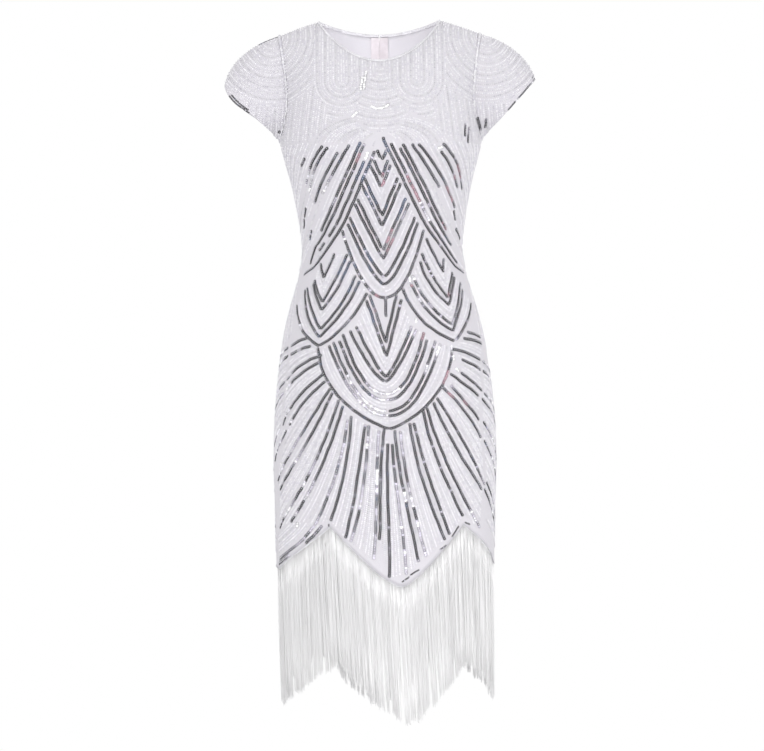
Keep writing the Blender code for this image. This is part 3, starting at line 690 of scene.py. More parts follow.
def sleeve_point(k, m, left, lengths):
    """Point of a sleeve: k steps round the armhole, m steps out towards its hem."""
    half = SLEEVE_AROUND // 2
    front = -1.0 if k < half else 1.0
    way = k if k <= half else SLEEVE_AROUND - k
    low = min(int(way), half - 1)
    share = mix(lengths[low], lengths[low + 1], way - low) / lengths[half]
    lean = read_table(sleeve_table, "round", share)
    sign = 1.0 if left else -1.0
    middle = (SLEEVE_TIP + SLEEVE_UNDERARM) / 2
    end = middle + (SLEEVE_TIP - SLEEVE_UNDERARM) / 2 * math.cos(share * math.pi)
    end.y = front * SLEEVE_HALF_DEPTH * math.sin(share * math.pi)
    end -= HEM_WAY * front * HEM_TILT * math.sin(share * math.pi)
    if not left:
        lobe = LOBE_RISE * math.exp(-((share - LOBE_AT) / LOBE_SPREAD) ** 2)
        end += HEM_WAY * lobe * min(1.0, share / LOBE_START)
    end.x *= sign
    start = armhole_point(k, left)
    leave = Vector((sign * lean["leave_x"], front * lean["leave_out"], lean["leave_z"])).normalized()
    reach = Vector((sign * lean["reach_x"], front * lean["reach_out"], lean["reach_z"])).normalized()
    pull = (end - start).length
    return hermite(start, leave * pull, end, reach * pull, m / SLEEVE_STEPS)


print("waist half width:", round(ring_point(90.0, -342.0).x, 1), "mm")

# %% [markdown]
# ## Cloth that hangs
#
# Each panel is one sheet: a flat grid whose points are laid on the form, as net is pinned
# to a stand.  Cloth that is filled out still creases a little, most of all under the arms,
# across the waist and where it swings at the hips.  A simulation would crease it at
# random, so the creases are listed in a short table: a soft ridge or trough with
# a middle, a heading, a length and a width.  Solidify then gives the sheet its thickness.

# %% Creases
ROUND_MM = 2.35                  # millimetres of cloth for each degree round the body
CREASE_WAVE = {"share": 0.06, "pitch": 14.0}     # creases run a little wavy
CREASE_FADE = {"gap": 2.0, "over": 22.0}         # and fade out below the underarm
CREASE_COLUMNS = ("angle", "z", "heading", "length", "width", "rise")
CREASES = (
    (62.0, -205.0, 40.0, 70.0, 9.0, 1.3),
    (70.0, -228.0, 30.0, 60.0, 8.0, -1.1),
    (-60.0, -208.0, 142.0, 75.0, 9.0, 1.4),
    (-72.0, -236.0, 152.0, 60.0, 8.0, -1.2),
    (66.0, -300.0, 12.0, 70.0, 8.0, 1.2),
    (54.0, -322.0, 4.0, 90.0, 9.0, -1.2),
    (70.0, -345.0, -6.0, 80.0, 8.0, 1.3),
    (60.0, -368.0, -14.0, 70.0, 9.0, -1.0),
    (-64.0, -296.0, 166.0, 76.0, 8.0, 1.1),
    (-52.0, -318.0, 176.0, 90.0, 9.0, -1.2),
    (-70.0, -341.0, 184.0, 80.0, 8.0, 1.4),
    (-58.0, -365.0, 192.0, 75.0, 9.0, -1.1),
    (20.0, -392.0, 6.0, 80.0, 12.0, 0.7),
    (-24.0, -404.0, 172.0, 85.0, 12.0, -0.7),
    (78.0, -440.0, 70.0, 90.0, 10.0, 1.2),
    (-80.0, -450.0, 108.0, 95.0, 10.0, 1.3),
    (-70.0, -600.0, 96.0, 150.0, 12.0, -1.5),
    (72.0, -620.0, 84.0, 150.0, 12.0, 1.4),
    (-34.0, -700.0, 94.0, 110.0, 11.0, 1.2),
    (36.0, -690.0, 86.0, 120.0, 11.0, -1.2),
    (122.0, -300.0, -8.0, 80.0, 8.0, 1.3),
    (134.0, -326.0, -2.0, 90.0, 9.0, -1.2),
    (118.0, -352.0, 6.0, 80.0, 8.0, 1.2),
    (-120.0, -304.0, 188.0, 80.0, 8.0, 1.2),
    (-134.0, -330.0, 181.0, 95.0, 9.0, -1.3),
    (-117.0, -356.0, 172.0, 80.0, 8.0, 1.1),
    (112.0, -215.0, -38.0, 70.0, 9.0, 1.2),
    (-110.0, -218.0, 218.0, 72.0, 9.0, 1.3),
    (150.0, -620.0, 92.0, 150.0, 12.0, 1.4),
    (-146.0, -640.0, 88.0, 150.0, 12.0, -1.4),
    (172.0, -700.0, 90.0, 110.0, 12.0, 1.0),
    (-104.0, -560.0, 100.0, 120.0, 11.0, 1.2),
    (106.0, -570.0, 80.0, 120.0, 11.0, -1.2),
)
SLEEVE_FOLD_COLUMNS = ("k", "spread", "rise")
SLEEVE_FOLDS = (
    (2.0, 0.7, 0.9), (4.2, 0.6, -0.9), (6.0, 0.7, 1.0), (8.0, 0.6, -0.8), (9.4, 0.5, 0.8),
    (11.2, 0.5, 0.7), (13.0, 0.7, -0.9), (15.2, 0.7, 1.0), (17.4, 0.6, -0.8), (19.0, 0.5, 0.7),
)
crease_table = as_rows(CREASE_COLUMNS, CREASES)
fold_table = as_rows(SLEEVE_FOLD_COLUMNS, SLEEVE_FOLDS)


def crease_at(angle, z):
    """How far the cloth stands out from its form, in millimetres, from all the creases."""
    total = 0.0
    for crease in crease_table:
        across = ((angle - crease["angle"] + 180.0) % 360.0 - 180.0) * ROUND_MM
        up = z - crease["z"]
        if abs(across) + abs(up) > 1.6 * crease["length"]:
            continue
        heading = math.radians(crease["heading"])
        along = across * math.cos(heading) + up * math.sin(heading)
        off = up * math.cos(heading) - across * math.sin(heading)
        off += CREASE_WAVE["share"] * crease["width"] * math.sin(along / CREASE_WAVE["pitch"])
        reach = along / (crease["length"] / 2)
        if abs(reach) < 1.0:
            fade = (1.0 - reach * reach) ** 2
            total += crease["rise"] * fade * math.exp(-((off / crease["width"]) ** 2))
    below = UNDERARM_Z - CREASE_FADE["gap"] - z
    return total * max(0.0, min(1.0, below / CREASE_FADE["over"]))


def fold_at(k):
    """The same for a sleeve, from its folds, k steps round the armhole."""
    total = 0.0
    for fold in fold_table:
        off = (k - fold["k"] + SLEEVE_AROUND / 2) % SLEEVE_AROUND - SLEEVE_AROUND / 2
        total += fold["rise"] * math.exp(-((off / fold["spread"]) ** 2))
    return total


print("creases:", len(crease_table), "on the body,", len(fold_table), "on each sleeve")


# %% Laying a panel
BODY_FINE_ACROSS = 4
BODY_FINE_UP = 4
SLEEVE_FINE_ROUND = 4
SLEEVE_FINE_OUT = 5
CLOTH_THICKNESS = 1.2
ZIP_EASE = 0.15                  # the backs end this far from the zip's teeth
SLEEVE_MIDDLE_Z = -125.0
FOLD_GROWTH = 1.2                # a sleeve's folds grow from its seam to its hem
SEAM_CLOSE = 0.05
YOKE_FOOT = -186.0               # the close beading of the yoke ends here
pieces = {}
sheets = {}


def grid_mesh(columns, rows):
    """A flat grid with its points listed by column and row."""
    bm = bmesh.new()
    bmesh.ops.create_grid(bm, x_segments=columns, y_segments=rows, size=1.0)
    lattice = {}
    for vert in bm.verts:
        a = round((vert.co.x + 1.0) / 2.0 * columns)
        b = round((vert.co.y + 1.0) / 2.0 * rows)
        lattice[a, b] = vert
    return bm, lattice


def cloth_uv(bm, lattice, columns, rows, middle):
    """Lay the panel out flat: distances along its own rows and columns, in metres."""
    layer = bm.loops.layers.uv.new("cloth")
    flat = {}
    for b in range(rows + 1):
        for way in (1, -1):
            a, u = middle, 0.0
            while (a, b) in lattice:
                flat[lattice[a, b]] = [u, 0.0]
                if (a + way, b) in lattice:
                    u += way * (lattice[a + way, b].co - lattice[a, b].co).length
                a += way
    for a in range(columns + 1):
        v = 0.0
        for b in range(rows + 1):
            if (a, b) not in lattice:
                break
            if b:
                v += (lattice[a, b].co - lattice[a, b - 1].co).length
            flat.setdefault(lattice[a, b], [0.0, 0.0])[1] = v
    for face in bm.faces:
        for loop in face.loops:
            loop[layer].uv = flat[loop.vert]


def face_out(bm, centre_of):
    """Turn the faces so that they look away from the dress's inside."""
    looks = sum(face.normal.dot(face.calc_center_median() - centre_of(face.calc_center_median()))
                for face in bm.faces)
    if looks < 0:
        bmesh.ops.reverse_faces(bm, faces=bm.faces[:])


def keep_piece(name, mesh, material):
    """Put a mesh into the scene as a piece that rides on the dress."""
    mesh.materials.append(material)
    thing = bpy.data.objects.new(name, mesh)
    scene.collection.objects.link(thing)
    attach(thing, "dress")
    pieces[name] = thing
    return thing


def new_piece(name, bm, material):
    """Turn a shape in millimetres into a smooth piece."""
    bmesh.ops.scale(bm, vec=(MM, MM, MM), verts=bm.verts[:])
    mesh = bpy.data.meshes.new(name)
    bm.to_mesh(mesh)
    bm.free()
    mesh.shade_smooth()
    return keep_piece(name, mesh, material)


def remember_sheet(bm, where):
    """A panel's outer points, faces and places, for the beading to sit on."""
    bm.verts.ensure_lookup_table()
    bm.verts.index_update()
    return {
        "points": [vert.co.copy() for vert in bm.verts],
        "normals": [vert.normal.copy() for vert in bm.verts],
        "faces": [tuple(vert.index for vert in face.verts) for face in bm.faces],
        "where": [where[vert] for vert in bm.verts],
        "area": sum(face.calc_area() for face in bm.faces),
    }


def finish_sheet(name, bm, where):
    """Remember a laid sheet's outer surface, and give it its thickness."""
    bm.normal_update()
    sheets[name] = remember_sheet(bm, where)
    thing = new_piece(name, bm, net)
    wall = thing.modifiers.new("thickness", "SOLIDIFY")
    wall.thickness = CLOTH_THICKNESS * MM
    wall.offset = -1.0


def body_centre(point):
    return Vector((0.0, 0.0, point.z))


def lay_body_panel(name, first, last, back):
    """One panel between two columns, counted from the centre, minus on the wearer's right."""
    columns = (last - first) * BODY_FINE_ACROSS
    rows = TOP_ROW * BODY_FINE_UP
    bm, lattice = grid_mesh(columns, rows)
    where = {}
    for (a, b), vert in list(lattice.items()):
        i = first + a / BODY_FINE_ACROSS
        j = b / BODY_FINE_UP
        if abs(i) > YOKE_COLUMNS + TINY and j > CHEST_ROW + TINY:
            bm.verts.remove(vert)
            del lattice[a, b]
            continue
        left = i > 0 or (i == 0 and last > 0)
        vert.co = body_point(abs(i), j, left, back)
        where[vert] = (cloth_angle(abs(i), left, back), i, j)
    bm.normal_update()
    face_out(bm, body_centre)
    bm.normal_update()
    cloth_uv(bm, lattice, columns, rows, round(-first * BODY_FINE_ACROSS))
    side = 1.0 if last > 0 else -1.0
    for vert, (angle, i, _) in where.items():
        vert.co += vert.normal * crease_at(angle, vert.co.z)
        if back and i == 0 and vert.co.z > ZIP_END_Z:
            vert.co.x += side * (ZIP_TEETH_WIDTH / 2 + ZIP_EASE)
    finish_sheet(name, bm, where)


def lay_sleeve(name, left):
    lengths = armhole_lengths(left)
    columns = SLEEVE_AROUND * SLEEVE_FINE_ROUND
    rows = SLEEVE_STEPS * SLEEVE_FINE_OUT
    bm, lattice = grid_mesh(columns, rows)
    where = {}
    for (a, b), vert in lattice.items():
        k = a / SLEEVE_FINE_ROUND
        m = b / SLEEVE_FINE_OUT
        vert.co = sleeve_point(k, m, left, lengths)
        where[vert] = (0.0, k, m)
    inward = -20.0 if left else 20.0
    bm.normal_update()
    face_out(bm, lambda point: Vector((point.x + inward, 0.0, SLEEVE_MIDDLE_Z)))
    bm.normal_update()
    cloth_uv(bm, lattice, columns, rows, 0)
    for vert, (_, k, m) in where.items():
        vert.co += vert.normal * fold_at(k) * (m / SLEEVE_STEPS) ** FOLD_GROWTH
    bmesh.ops.remove_doubles(bm, verts=bm.verts[:], dist=SEAM_CLOSE)
    finish_sheet(name, bm, {vert: where[vert] for vert in bm.verts})


lay_body_panel("front_net", -QUARTER, QUARTER, False)
lay_body_panel("back_left_net", 0, QUARTER, True)
lay_body_panel("back_right_net", -QUARTER, 0, True)
lay_sleeve("sleeve_left_net", True)
lay_sleeve("sleeve_right_net", False)
for name, sheet in sheets.items():
    print(name, len(sheet["faces"]), "faces,", round(sheet["area"] / 1e6, 4), "square metres")

# %% [markdown]
# ## A map from the pattern to the cloth
#
# The beading was planned on flat cloth: so many millimetres from the centre line, and so
# far below the neck.  To put it on the dress we need to know how far round the body such a
# place lies, because a ring is longer at the hips than at the waist.  A table of distances
# round many rings answers that, and a search tree over the panels then gives the exact
# point on the creased cloth and the way that it faces.

# %% Distances round the body, and the search tree
MAP_Z = np.linspace(ring_table[0]["z"], CHEST_Z, 93)
MAP_ANGLES = np.linspace(0.0, 360.0, 145)
CORNER_SOFT = 0.3                # keeps one corner of a face from taking over its normal
round_map = []
for z in MAP_Z:
    ring = np.array([ring_point(angle, z)[:] for angle in MAP_ANGLES])
    steps = np.linalg.norm(np.diff(ring, axis=0), axis=1)
    round_map.append(np.concatenate(([0.0], np.cumsum(steps))))
round_map = np.array(round_map)


def distances_at(z):
    row = (z - MAP_Z[0]) / (MAP_Z[-1] - MAP_Z[0]) * (len(MAP_Z) - 1)
    row = max(0.0, min(len(MAP_Z) - 1.001, row))
    low = int(row)
    return round_map[low] * (1 - row + low) + round_map[low + 1] * (row - low)


def angle_of(s, z, back):
    """Cloth angle of a place s millimetres from the centre front, or the centre back."""
    row = distances_at(z)
    whole = row[-1]
    start = row[len(row) // 2] if back else 0.0
    return float(np.interp((start + s) % whole, row, MAP_ANGLES))


def side_distance(z, back, side):
    """Millimetres from the centre line to the side seam."""
    row = distances_at(z)
    quarter, half, three = (row[int(len(row) * share)] for share in (0.25, 0.5, 0.75))
    if back:
        return three - half if side > 0 else half - quarter
    return quarter if side > 0 else row[-1] - three


all_points, all_faces, all_normals = [], [], []
for sheet in sheets.values():
    shift = len(all_points)
    all_points += sheet["points"]
    all_normals += sheet["normals"]
    all_faces += [tuple(v + shift for v in face) for face in sheet["faces"]]
cloth_tree = BVHTree.FromPolygons(all_points, all_faces)


def smooth_normal(face_index, point):
    """Outward direction at a point, blended from the corners of the face that it is on."""
    total = Vector((0.0, 0.0, 0.0))
    for v in all_faces[face_index]:
        total += all_normals[v] / (CORNER_SOFT + (all_points[v] - point).length)
    return total.normalized()


def on_cloth(point, reach=3.0):
    """Nearest place on the outer cloth and its outward direction, or None."""
    found, _, index, _ = cloth_tree.find_nearest(point, reach)
    if found is None:
        return None
    return found, smooth_normal(index, found)


print("map:", len(MAP_Z), "rings; cloth faces to search:", len(all_faces))

# %% [markdown]
# ## One sequin and one seed bead
#
# A cup sequin is a shallow dish about 5 mm across, held by a seed bead over its middle.
# Thousands of them are needed, so each is only a few dozen faces: a low cone frustum for
# the dish and a smaller one for the bead.  They could be instances, but joined meshes
# export as they are and keep one colour for each sequin.

# %% Shapes that are repeated, and sewing many into one piece
SEQUIN_RADIUS = 2.6
SEQUIN_PITCH = 3.75
SEQUIN_DEPTH = 0.55
BEAD_RADIUS = 0.88
BEAD_HEIGHT = 0.9
PEARL_RADIUS = 1.45
PEARL_HEIGHT = 1.1
PEARL_PITCH = 3.0


def shape_arrays(bm):
    bmesh.ops.recalc_face_normals(bm, faces=bm.faces[:])
    bmesh.ops.triangulate(bm, faces=bm.faces[:])
    bm.verts.index_update()
    points = np.array([vert.co[:] for vert in bm.verts])
    faces = np.array([[vert.index for vert in face.verts] for face in bm.faces])
    bm.free()
    return points, faces


def add_cone(bm, sides, radius, narrower, depth, up_by=0.0):
    """A cone frustum round the upright, with its top so much narrower than its foot."""
    cone = bmesh.ops.create_cone(bm, cap_ends=True, segments=sides, radius1=radius,
                                 radius2=radius * narrower, depth=depth)
    bmesh.ops.translate(bm, verts=cone["verts"], vec=(0.0, 0.0, up_by))


def turn_shape(bm, angle, axis):
    bmesh.ops.rotate(bm, verts=bm.verts[:], cent=(0, 0, 0), matrix=Matrix.Rotation(angle, 3, axis))


def make_sequin_shape():
    bm = bmesh.new()
    add_cone(bm, 7, SEQUIN_RADIUS, 0.62, SEQUIN_DEPTH, 0.3)
    dish = len(bm.verts)
    add_cone(bm, 5, BEAD_RADIUS, 0.6, BEAD_HEIGHT, 0.95)
    return shape_arrays(bm), dish


def make_pearl_shape():
    """A seed bead without its hidden foot."""
    bm = bmesh.new()
    add_cone(bm, 5, PEARL_RADIUS, 0.55, PEARL_HEIGHT, 0.5)
    hidden = min(bm.faces, key=lambda face: face.calc_center_median().z)
    bmesh.ops.delete(bm, geom=[hidden], context="FACES_ONLY")
    return shape_arrays(bm)


def keep_copies(name, points, faces, tints, material):
    """Join copies of a shape, given all their points in metres and a tint for each point."""
    count, size = points.shape[:2]
    corners = (faces[None, :, :] + (np.arange(count) * size)[:, None, None]).reshape(-1, 3)
    mesh = bpy.data.meshes.new(name)
    mesh.vertices.add(count * size)
    mesh.vertices.foreach_set("co", points.reshape(-1))
    mesh.loops.add(len(corners) * 3)
    mesh.loops.foreach_set("vertex_index", corners.reshape(-1))
    mesh.polygons.add(len(corners))
    mesh.polygons.foreach_set("loop_start", np.arange(len(corners)) * 3)
    mesh.update(calc_edges=True)
    layer = mesh.attributes.new("tint", "FLOAT_COLOR", "POINT")
    layer.data.foreach_set("color", tints.reshape(-1))
    mesh.validate()
    print(name, count, "sewn on,", len(corners), "triangles")
    return keep_piece(name, mesh, material)


def sew_on(name, shape, places, material, foil_points=0):
    """Join copies of a shape at places: (point, outward, along, tint, size)."""
    points, faces = shape
    count = len(places)
    spots = np.array([place[0][:] for place in places])
    normals = np.array([place[1][:] for place in places])
    alongs = np.array([place[2][:] for place in places])
    sides = np.cross(normals, alongs)
    sides /= np.linalg.norm(sides, axis=1)[:, None]
    alongs = np.cross(sides, normals)
    sizes = np.array([place[4] for place in places])[:, None, None]
    local = points[None, :, :] * sizes
    world_points = (
        local[:, :, 0:1] * alongs[:, None, :]
        + local[:, :, 1:2] * sides[:, None, :]
        + local[:, :, 2:3] * normals[:, None, :]
        + spots[:, None, :]
    ) * MM
    tints = np.ones((count, len(points), 4))
    tints[:, :, :3] = np.array([place[3] for place in places])[:, None, :]
    if foil_points:
        tints[:, foil_points:, :3] = BEAD_TINT
    thing = keep_copies(name, world_points, faces, tints, material)
    if foil_points:
        shine = np.zeros((count, len(points)))
        shine[:, :foil_points] = 1.0
        layer = thing.data.attributes.new("foil", "FLOAT", "POINT")
        layer.data.foreach_set("value", shine.reshape(-1))
    return thing


sequin, dish_points = make_sequin_shape()
pearl = make_pearl_shape()
print("sequin:", len(sequin[1]), "triangles; seed bead:", len(pearl[1]))

# %% [markdown]
# ## Colours of the sequins
#
# The sequins are all silver and each mirrors its own bit of the room, but here that is
# painted: each sequin's tint is a painted reflection, so along a row they run from nearly
# black through grey, blue and pink to white, and the white ones are painted highlights.
# A row's tones are written as a string of letters that is stretched along it, which is how
# a beader would note them.

# %% Tones
# Tints that stand for what each sequin mirrors: painted reflections, and 'w' is a painted highlight.
PAINTED_REFLECTIONS = {
    "k": (0.008, 0.008, 0.011),
    "d": (0.030, 0.030, 0.040),
    "g": (0.14, 0.14, 0.16),
    "b": (0.065, 0.088, 0.145),
    "p": (0.350, 0.215, 0.250),
    "l": (0.46, 0.44, 0.50),
    ".": (0.74, 0.73, 0.77),
    "w": (1.0, 1.0, 1.0),
}
BEAD_TINT = (0.90, 0.89, 0.93)
TONE_SPREAD = 0.40
ODD_LETTERS = {**dict.fromkeys("kdgbp", "kddgggllb"), **dict.fromkeys("l.", "ll..")}
ODD_ONES = 0.20                 # share of sequins painted with another reflection than their row
chance = random.Random(1925)


def painted_reflection_along(tones, share):
    """Painted reflection at a share of a row's length, with a little of its own for each sequin."""
    letter = tones[min(int(share * len(tones)), len(tones) - 1)]
    if letter in ODD_LETTERS and chance.random() < ODD_ONES:
        letter = chance.choice(ODD_LETTERS[letter])
    colour = PAINTED_REFLECTIONS[letter]
    gain = math.exp(chance.uniform(-TONE_SPREAD, TONE_SPREAD))
    return tuple(min(1.0, part * gain) for part in colour)


print("tones:", len(PAINTED_REFLECTIONS))

# %% [markdown]
# ## The beading plan
#
# The pattern is the usual one of the 1920s: fans, nested chevrons and scallops, and a
# sunburst, all of them plain curves that repeat.  So each family of rows has one rule and
# a short table.  s is the distance round the cloth from the centre line in millimetres,
# z the height.  Rows come in pairs, and the two halves of the dress are nearly mirrored.

# %% Fan rows over the bust
CURVE_STEPS = 48
COURSE_COLUMNS = ("share", "s", "z")
FAN_COURSE = (
    (0.00, 2.0, -184.0),
    (0.28, 29.0, -242.0),
    (0.60, 66.0, -313.0),
    (0.88, 114.0, -366.0),
    (1.00, 142.0, -379.0),
)
FAN_COLUMNS = ("side", "offset", "start", "stop", "tones")
FAN_ROWS = (
    (1, 0.0, 0.00, 1.00, "bgkkkkkkkkkdkg"),
    (1, 8.0, 0.04, 0.88, "kkdpppl.kkkkd"),
    (1, 18.0, 0.08, 0.73, "dkkkkkkkkg"),
    (1, 25.0, 0.05, 0.62, "kkkkkdkkp"),
    (-1, -2.0, 0.10, 1.00, "gbbddkkkkkkddg"),
    (-1, 6.8, 0.17, 0.66, "bbkkkkkkk"),
    (-1, 17.0, 0.04, 0.72, "gpkkkkkkkkk"),
    (-1, 24.0, 0.03, 0.62, "bdkkkklkkk"),
)
BOW_COLUMNS = ("start_s", "start_z", "end_s", "end_z", "bow", "tones")
FAN_BOWS = (
    (45.0, -194.0, 88.0, -256.0, 0.000, "dkdkg"),
    (55.0, -194.0, 119.0, -284.0, 0.027, "kkkdkgppg"),
    (90.0, -205.0, 124.0, -255.0, 0.055, "kkkpg"),
    (93.0, -193.0, 137.0, -257.0, 0.090, "gkdppg"),
    (-45.0, -194.0, -93.0, -264.0, 0.000, "dkkkgl.."),
    (-63.0, -205.0, -109.0, -276.0, 0.024, "gkkgkkk"),
    (-78.0, -196.0, -119.0, -260.0, 0.060, "kkkl..."),
    (-86.0, -194.0, -125.0, -251.0, 0.063, "kkkkl.."),
)
FAN_SPREAD = 0.0023             # the rows of a fan part by this share for each millimetre down
FAN_TOP = -195.0
course_table = as_rows(COURSE_COLUMNS, FAN_COURSE)
plan = []


def fan_row(side, offset, start, stop):
    row = []
    for t in shares(CURVE_STEPS):
        place = read_table(course_table, "share", mix(start, stop, t))
        wider = offset * (1.0 + FAN_SPREAD * (FAN_TOP - place["z"]))
        row.append((side * (place["s"] + wider), place["z"]))
    return row


def bow_between(start, end, share):
    """A shallow bow between two places that bulges up, or down when the share is minus."""
    across, up = end[0] - start[0], end[1] - start[1]
    length = math.hypot(across, up)
    side = 1.0 if across >= 0 else -1.0
    lift = (-up / length * side, across / length * side)
    bow = []
    for t in shares(CURVE_STEPS):
        swell = 4.0 * t * (1.0 - t) * share * length
        bow.append((start[0] + across * t + lift[0] * swell, start[1] + up * t + lift[1] * swell))
    return bow


def plan_row(group, curve, tones):
    plan.append({"group": group, "curve": curve, "tones": tones})


def bows(rows, group=None):
    """Curves of a table of bows, put into the plan when they belong to a group."""
    curves = []
    for row in as_rows(BOW_COLUMNS, rows):
        curve = bow_between((row["start_s"], row["start_z"]), (row["end_s"], row["end_z"]), row["bow"])
        curves.append(curve)
        if group:
            plan_row(group, curve, row["tones"])
    return curves


for row in as_rows(FAN_COLUMNS, FAN_ROWS):
    plan_row("fan", fan_row(row["side"], row["offset"], row["start"], row["stop"]), row["tones"])
bows(FAN_BOWS, "fan")
print("fan rows:", len(plan))

# %% [markdown]
# A chevron or an ogive hangs from two points to a tip in the middle.  One number says how
# round its arms are: at 1 they are straight, and below 1 they belly out like a shield.
# The whole middle hangs a few millimetres off the centre line, as handwork does.

# %% Chevrons and shields down the middle
OGIVE_COLUMNS = ("group", "axis", "reach", "top", "tip", "round", "belly", "left", "right")
OGIVES = (
    ("shield", 1.0, 6.5, -203.0, -217.0, 1.00, 1.0, "kk", "kk"),
    ("shield", -0.5, 10.0, -218.0, -242.0, 1.00, 1.0, "dkk", "gbp"),
    ("shield", -1.5, 15.5, -224.0, -256.0, 1.00, 1.0, "kkk", "bgp"),
    ("shield", -1.5, 24.0, -243.0, -297.0, 1.00, 1.0, "kbbbkk", "kkkkbk"),
    ("shield", -1.5, 29.0, -250.0, -312.0, 1.00, 1.0, "dbbgdk", "kkkkkk"),
    ("shield", -1.5, 35.5, -272.0, -347.0, 0.98, 1.0, "kkkkkkk", "bbbkppg"),
    ("shield", -1.5, 40.0, -279.0, -360.0, 0.97, 1.0, "dkkkkkk", "glggppd"),
    ("shield", -1.0, 48.5, -298.0, -386.0, 0.77, 1.0, "kkkkbbkk", "kkkkkkkk"),
    ("shield", -0.5, 52.0, -307.0, -397.0, 0.68, 1.0, "kkkkgbkk", "dkkkkkkk"),
    ("shield", -1.0, 61.5, -316.0, -417.0, 0.49, 1.0, "k.kkgkkbkk.kgkpk", "kgkkdkkkgkkkgdgk"),
    ("drop", -3.5, 20.0, -412.0, -484.0, 1.10, 1.0, "gbpgkkkk", "gkkkkkkk"),
    ("drop", -3.0, 26.0, -419.0, -503.0, 1.00, 1.0, "kbbgkkkk", "kkkkkkkk"),
    ("drop", -4.5, 41.0, -458.0, -533.0, 0.82, 1.0, "kkkkkkkk", "lgkkkkkk"),
    ("drop", -6.5, 49.0, -463.0, -539.0, 0.70, 1.0, "dkkkkkkd", "lgkkkkkd"),
    ("drop", -6.0, 60.0, -468.0, -557.0, 0.45, 1.0, "kdkkkkdl..", "pdkkkkkd.."),
    ("drop", -6.5, 65.0, -478.0, -566.0, 0.45, 1.0, "kkdkkkkgl.", "gdkkkkkkdl"),
    ("drop", -5.0, 76.0, -479.0, -582.0, 0.45, 1.0, "kkgk.l....", "lkg.kkkkkd"),
    ("drop", -4.5, 83.0, -485.0, -589.0, 0.46, 1.0, "kkgglll...", ".ldkkkkkkd"),
    ("drop", -4.0, 101.0, -487.0, -607.5, 0.76, 2.0, "kkkkkkkkkkkkkk", ".gkppdkkkkkkkk"),
)


CENTRE_ROW = [(-1.0, -417.0), (-1.0, -446.0)]
ARM_CLOSING = 1.5               # an arm's points come closer together towards the tip


def ogive_arm(side, row):
    arm = []
    for t in shares(CURVE_STEPS):
        u = 1.0 - (1.0 - t) ** ARM_CLOSING
        out_by = row["reach"] * (1.0 - u ** row["belly"]) ** row["round"]
        arm.append((row["axis"] + side * out_by, mix(row["top"], row["tip"], u)))
    return arm


ogive_table = as_rows(OGIVE_COLUMNS, OGIVES)
for row in ogive_table:
    for side, tones in ((1, row["right"]), (-1, row["left"])):
        plan_row(row["group"], ogive_arm(side, row), tones)
plan_row("drop", CENTRE_ROW, "gdg")
print("rows after the chevrons:", len(plan))

# %% [markdown]
# Beside the middle hang two nests of scallops.  Each scallop has a tip and two arms, and
# an arm is a shallow bow whose depth is a set share of its length.  Under all of them a
# sunburst runs out to the hem and round the sides, where the rows of the front meet those
# of the back.

# %% Side scallops and the sunburst
SCALLOP_COLUMNS = ("tip_s", "tip_z", "inner_s", "inner_z", "outer_s", "outer_z",
                   "inner_bow", "outer_bow", "inner", "outer")
SCALLOPS = (
    (103.0, -481.0, 25.0, -403.0, 150.0, -424.0, 0.13, 0.03, "dgkkkkkkkk", "kkkkkkkk"),
    (100.0, -466.0, 35.0, -386.0, 130.0, -405.0, 0.11, 0.02, ".pd.gkkkkk", "dgkkkg"),
    (100.0, -457.0, 40.0, -383.0, 126.0, -394.0, 0.09, 0.02, ".g.gdlkdkg", "lggkkg"),
    (97.0, -428.0, 53.0, -364.0, 114.0, -385.0, 0.09, 0.00, "kkkkkkkk", "kkkkk"),
    (96.0, -417.0, 56.0, -351.0, 110.0, -379.0, 0.05, 0.00, "dkkkkkkk", "pdkkd"),
    (92.0, -379.0, 64.0, -330.0, 93.0, -358.0, 0.02, 0.00, "kkdgk", "kg"),
    (-103.0, -486.0, -27.0, -408.0, -151.0, -424.0, 0.08, 0.12, "kkkkdgkkkk", "kkgk.kkk"),
    (-103.0, -473.0, -37.0, -391.0, -132.0, -402.0, 0.06, 0.09, "bbkkkkkkkk", "kkkkkk"),
    (-101.0, -461.0, -43.0, -383.0, -127.0, -399.0, 0.06, 0.04, "gbbkkkkkkk", "dkkkkd"),
    (-98.0, -433.0, -51.0, -362.0, -114.0, -393.0, 0.05, 0.04, "bbbkkkkk", "kkkkk"),
    (-97.0, -422.0, -54.0, -351.0, -112.0, -387.0, 0.02, 0.03, "kbbbkkkk", "dgkkd"),
    (-94.0, -386.0, -74.0, -349.0, -100.0, -363.0, 0.00, 0.02, "kgdkk", "kk"),
)
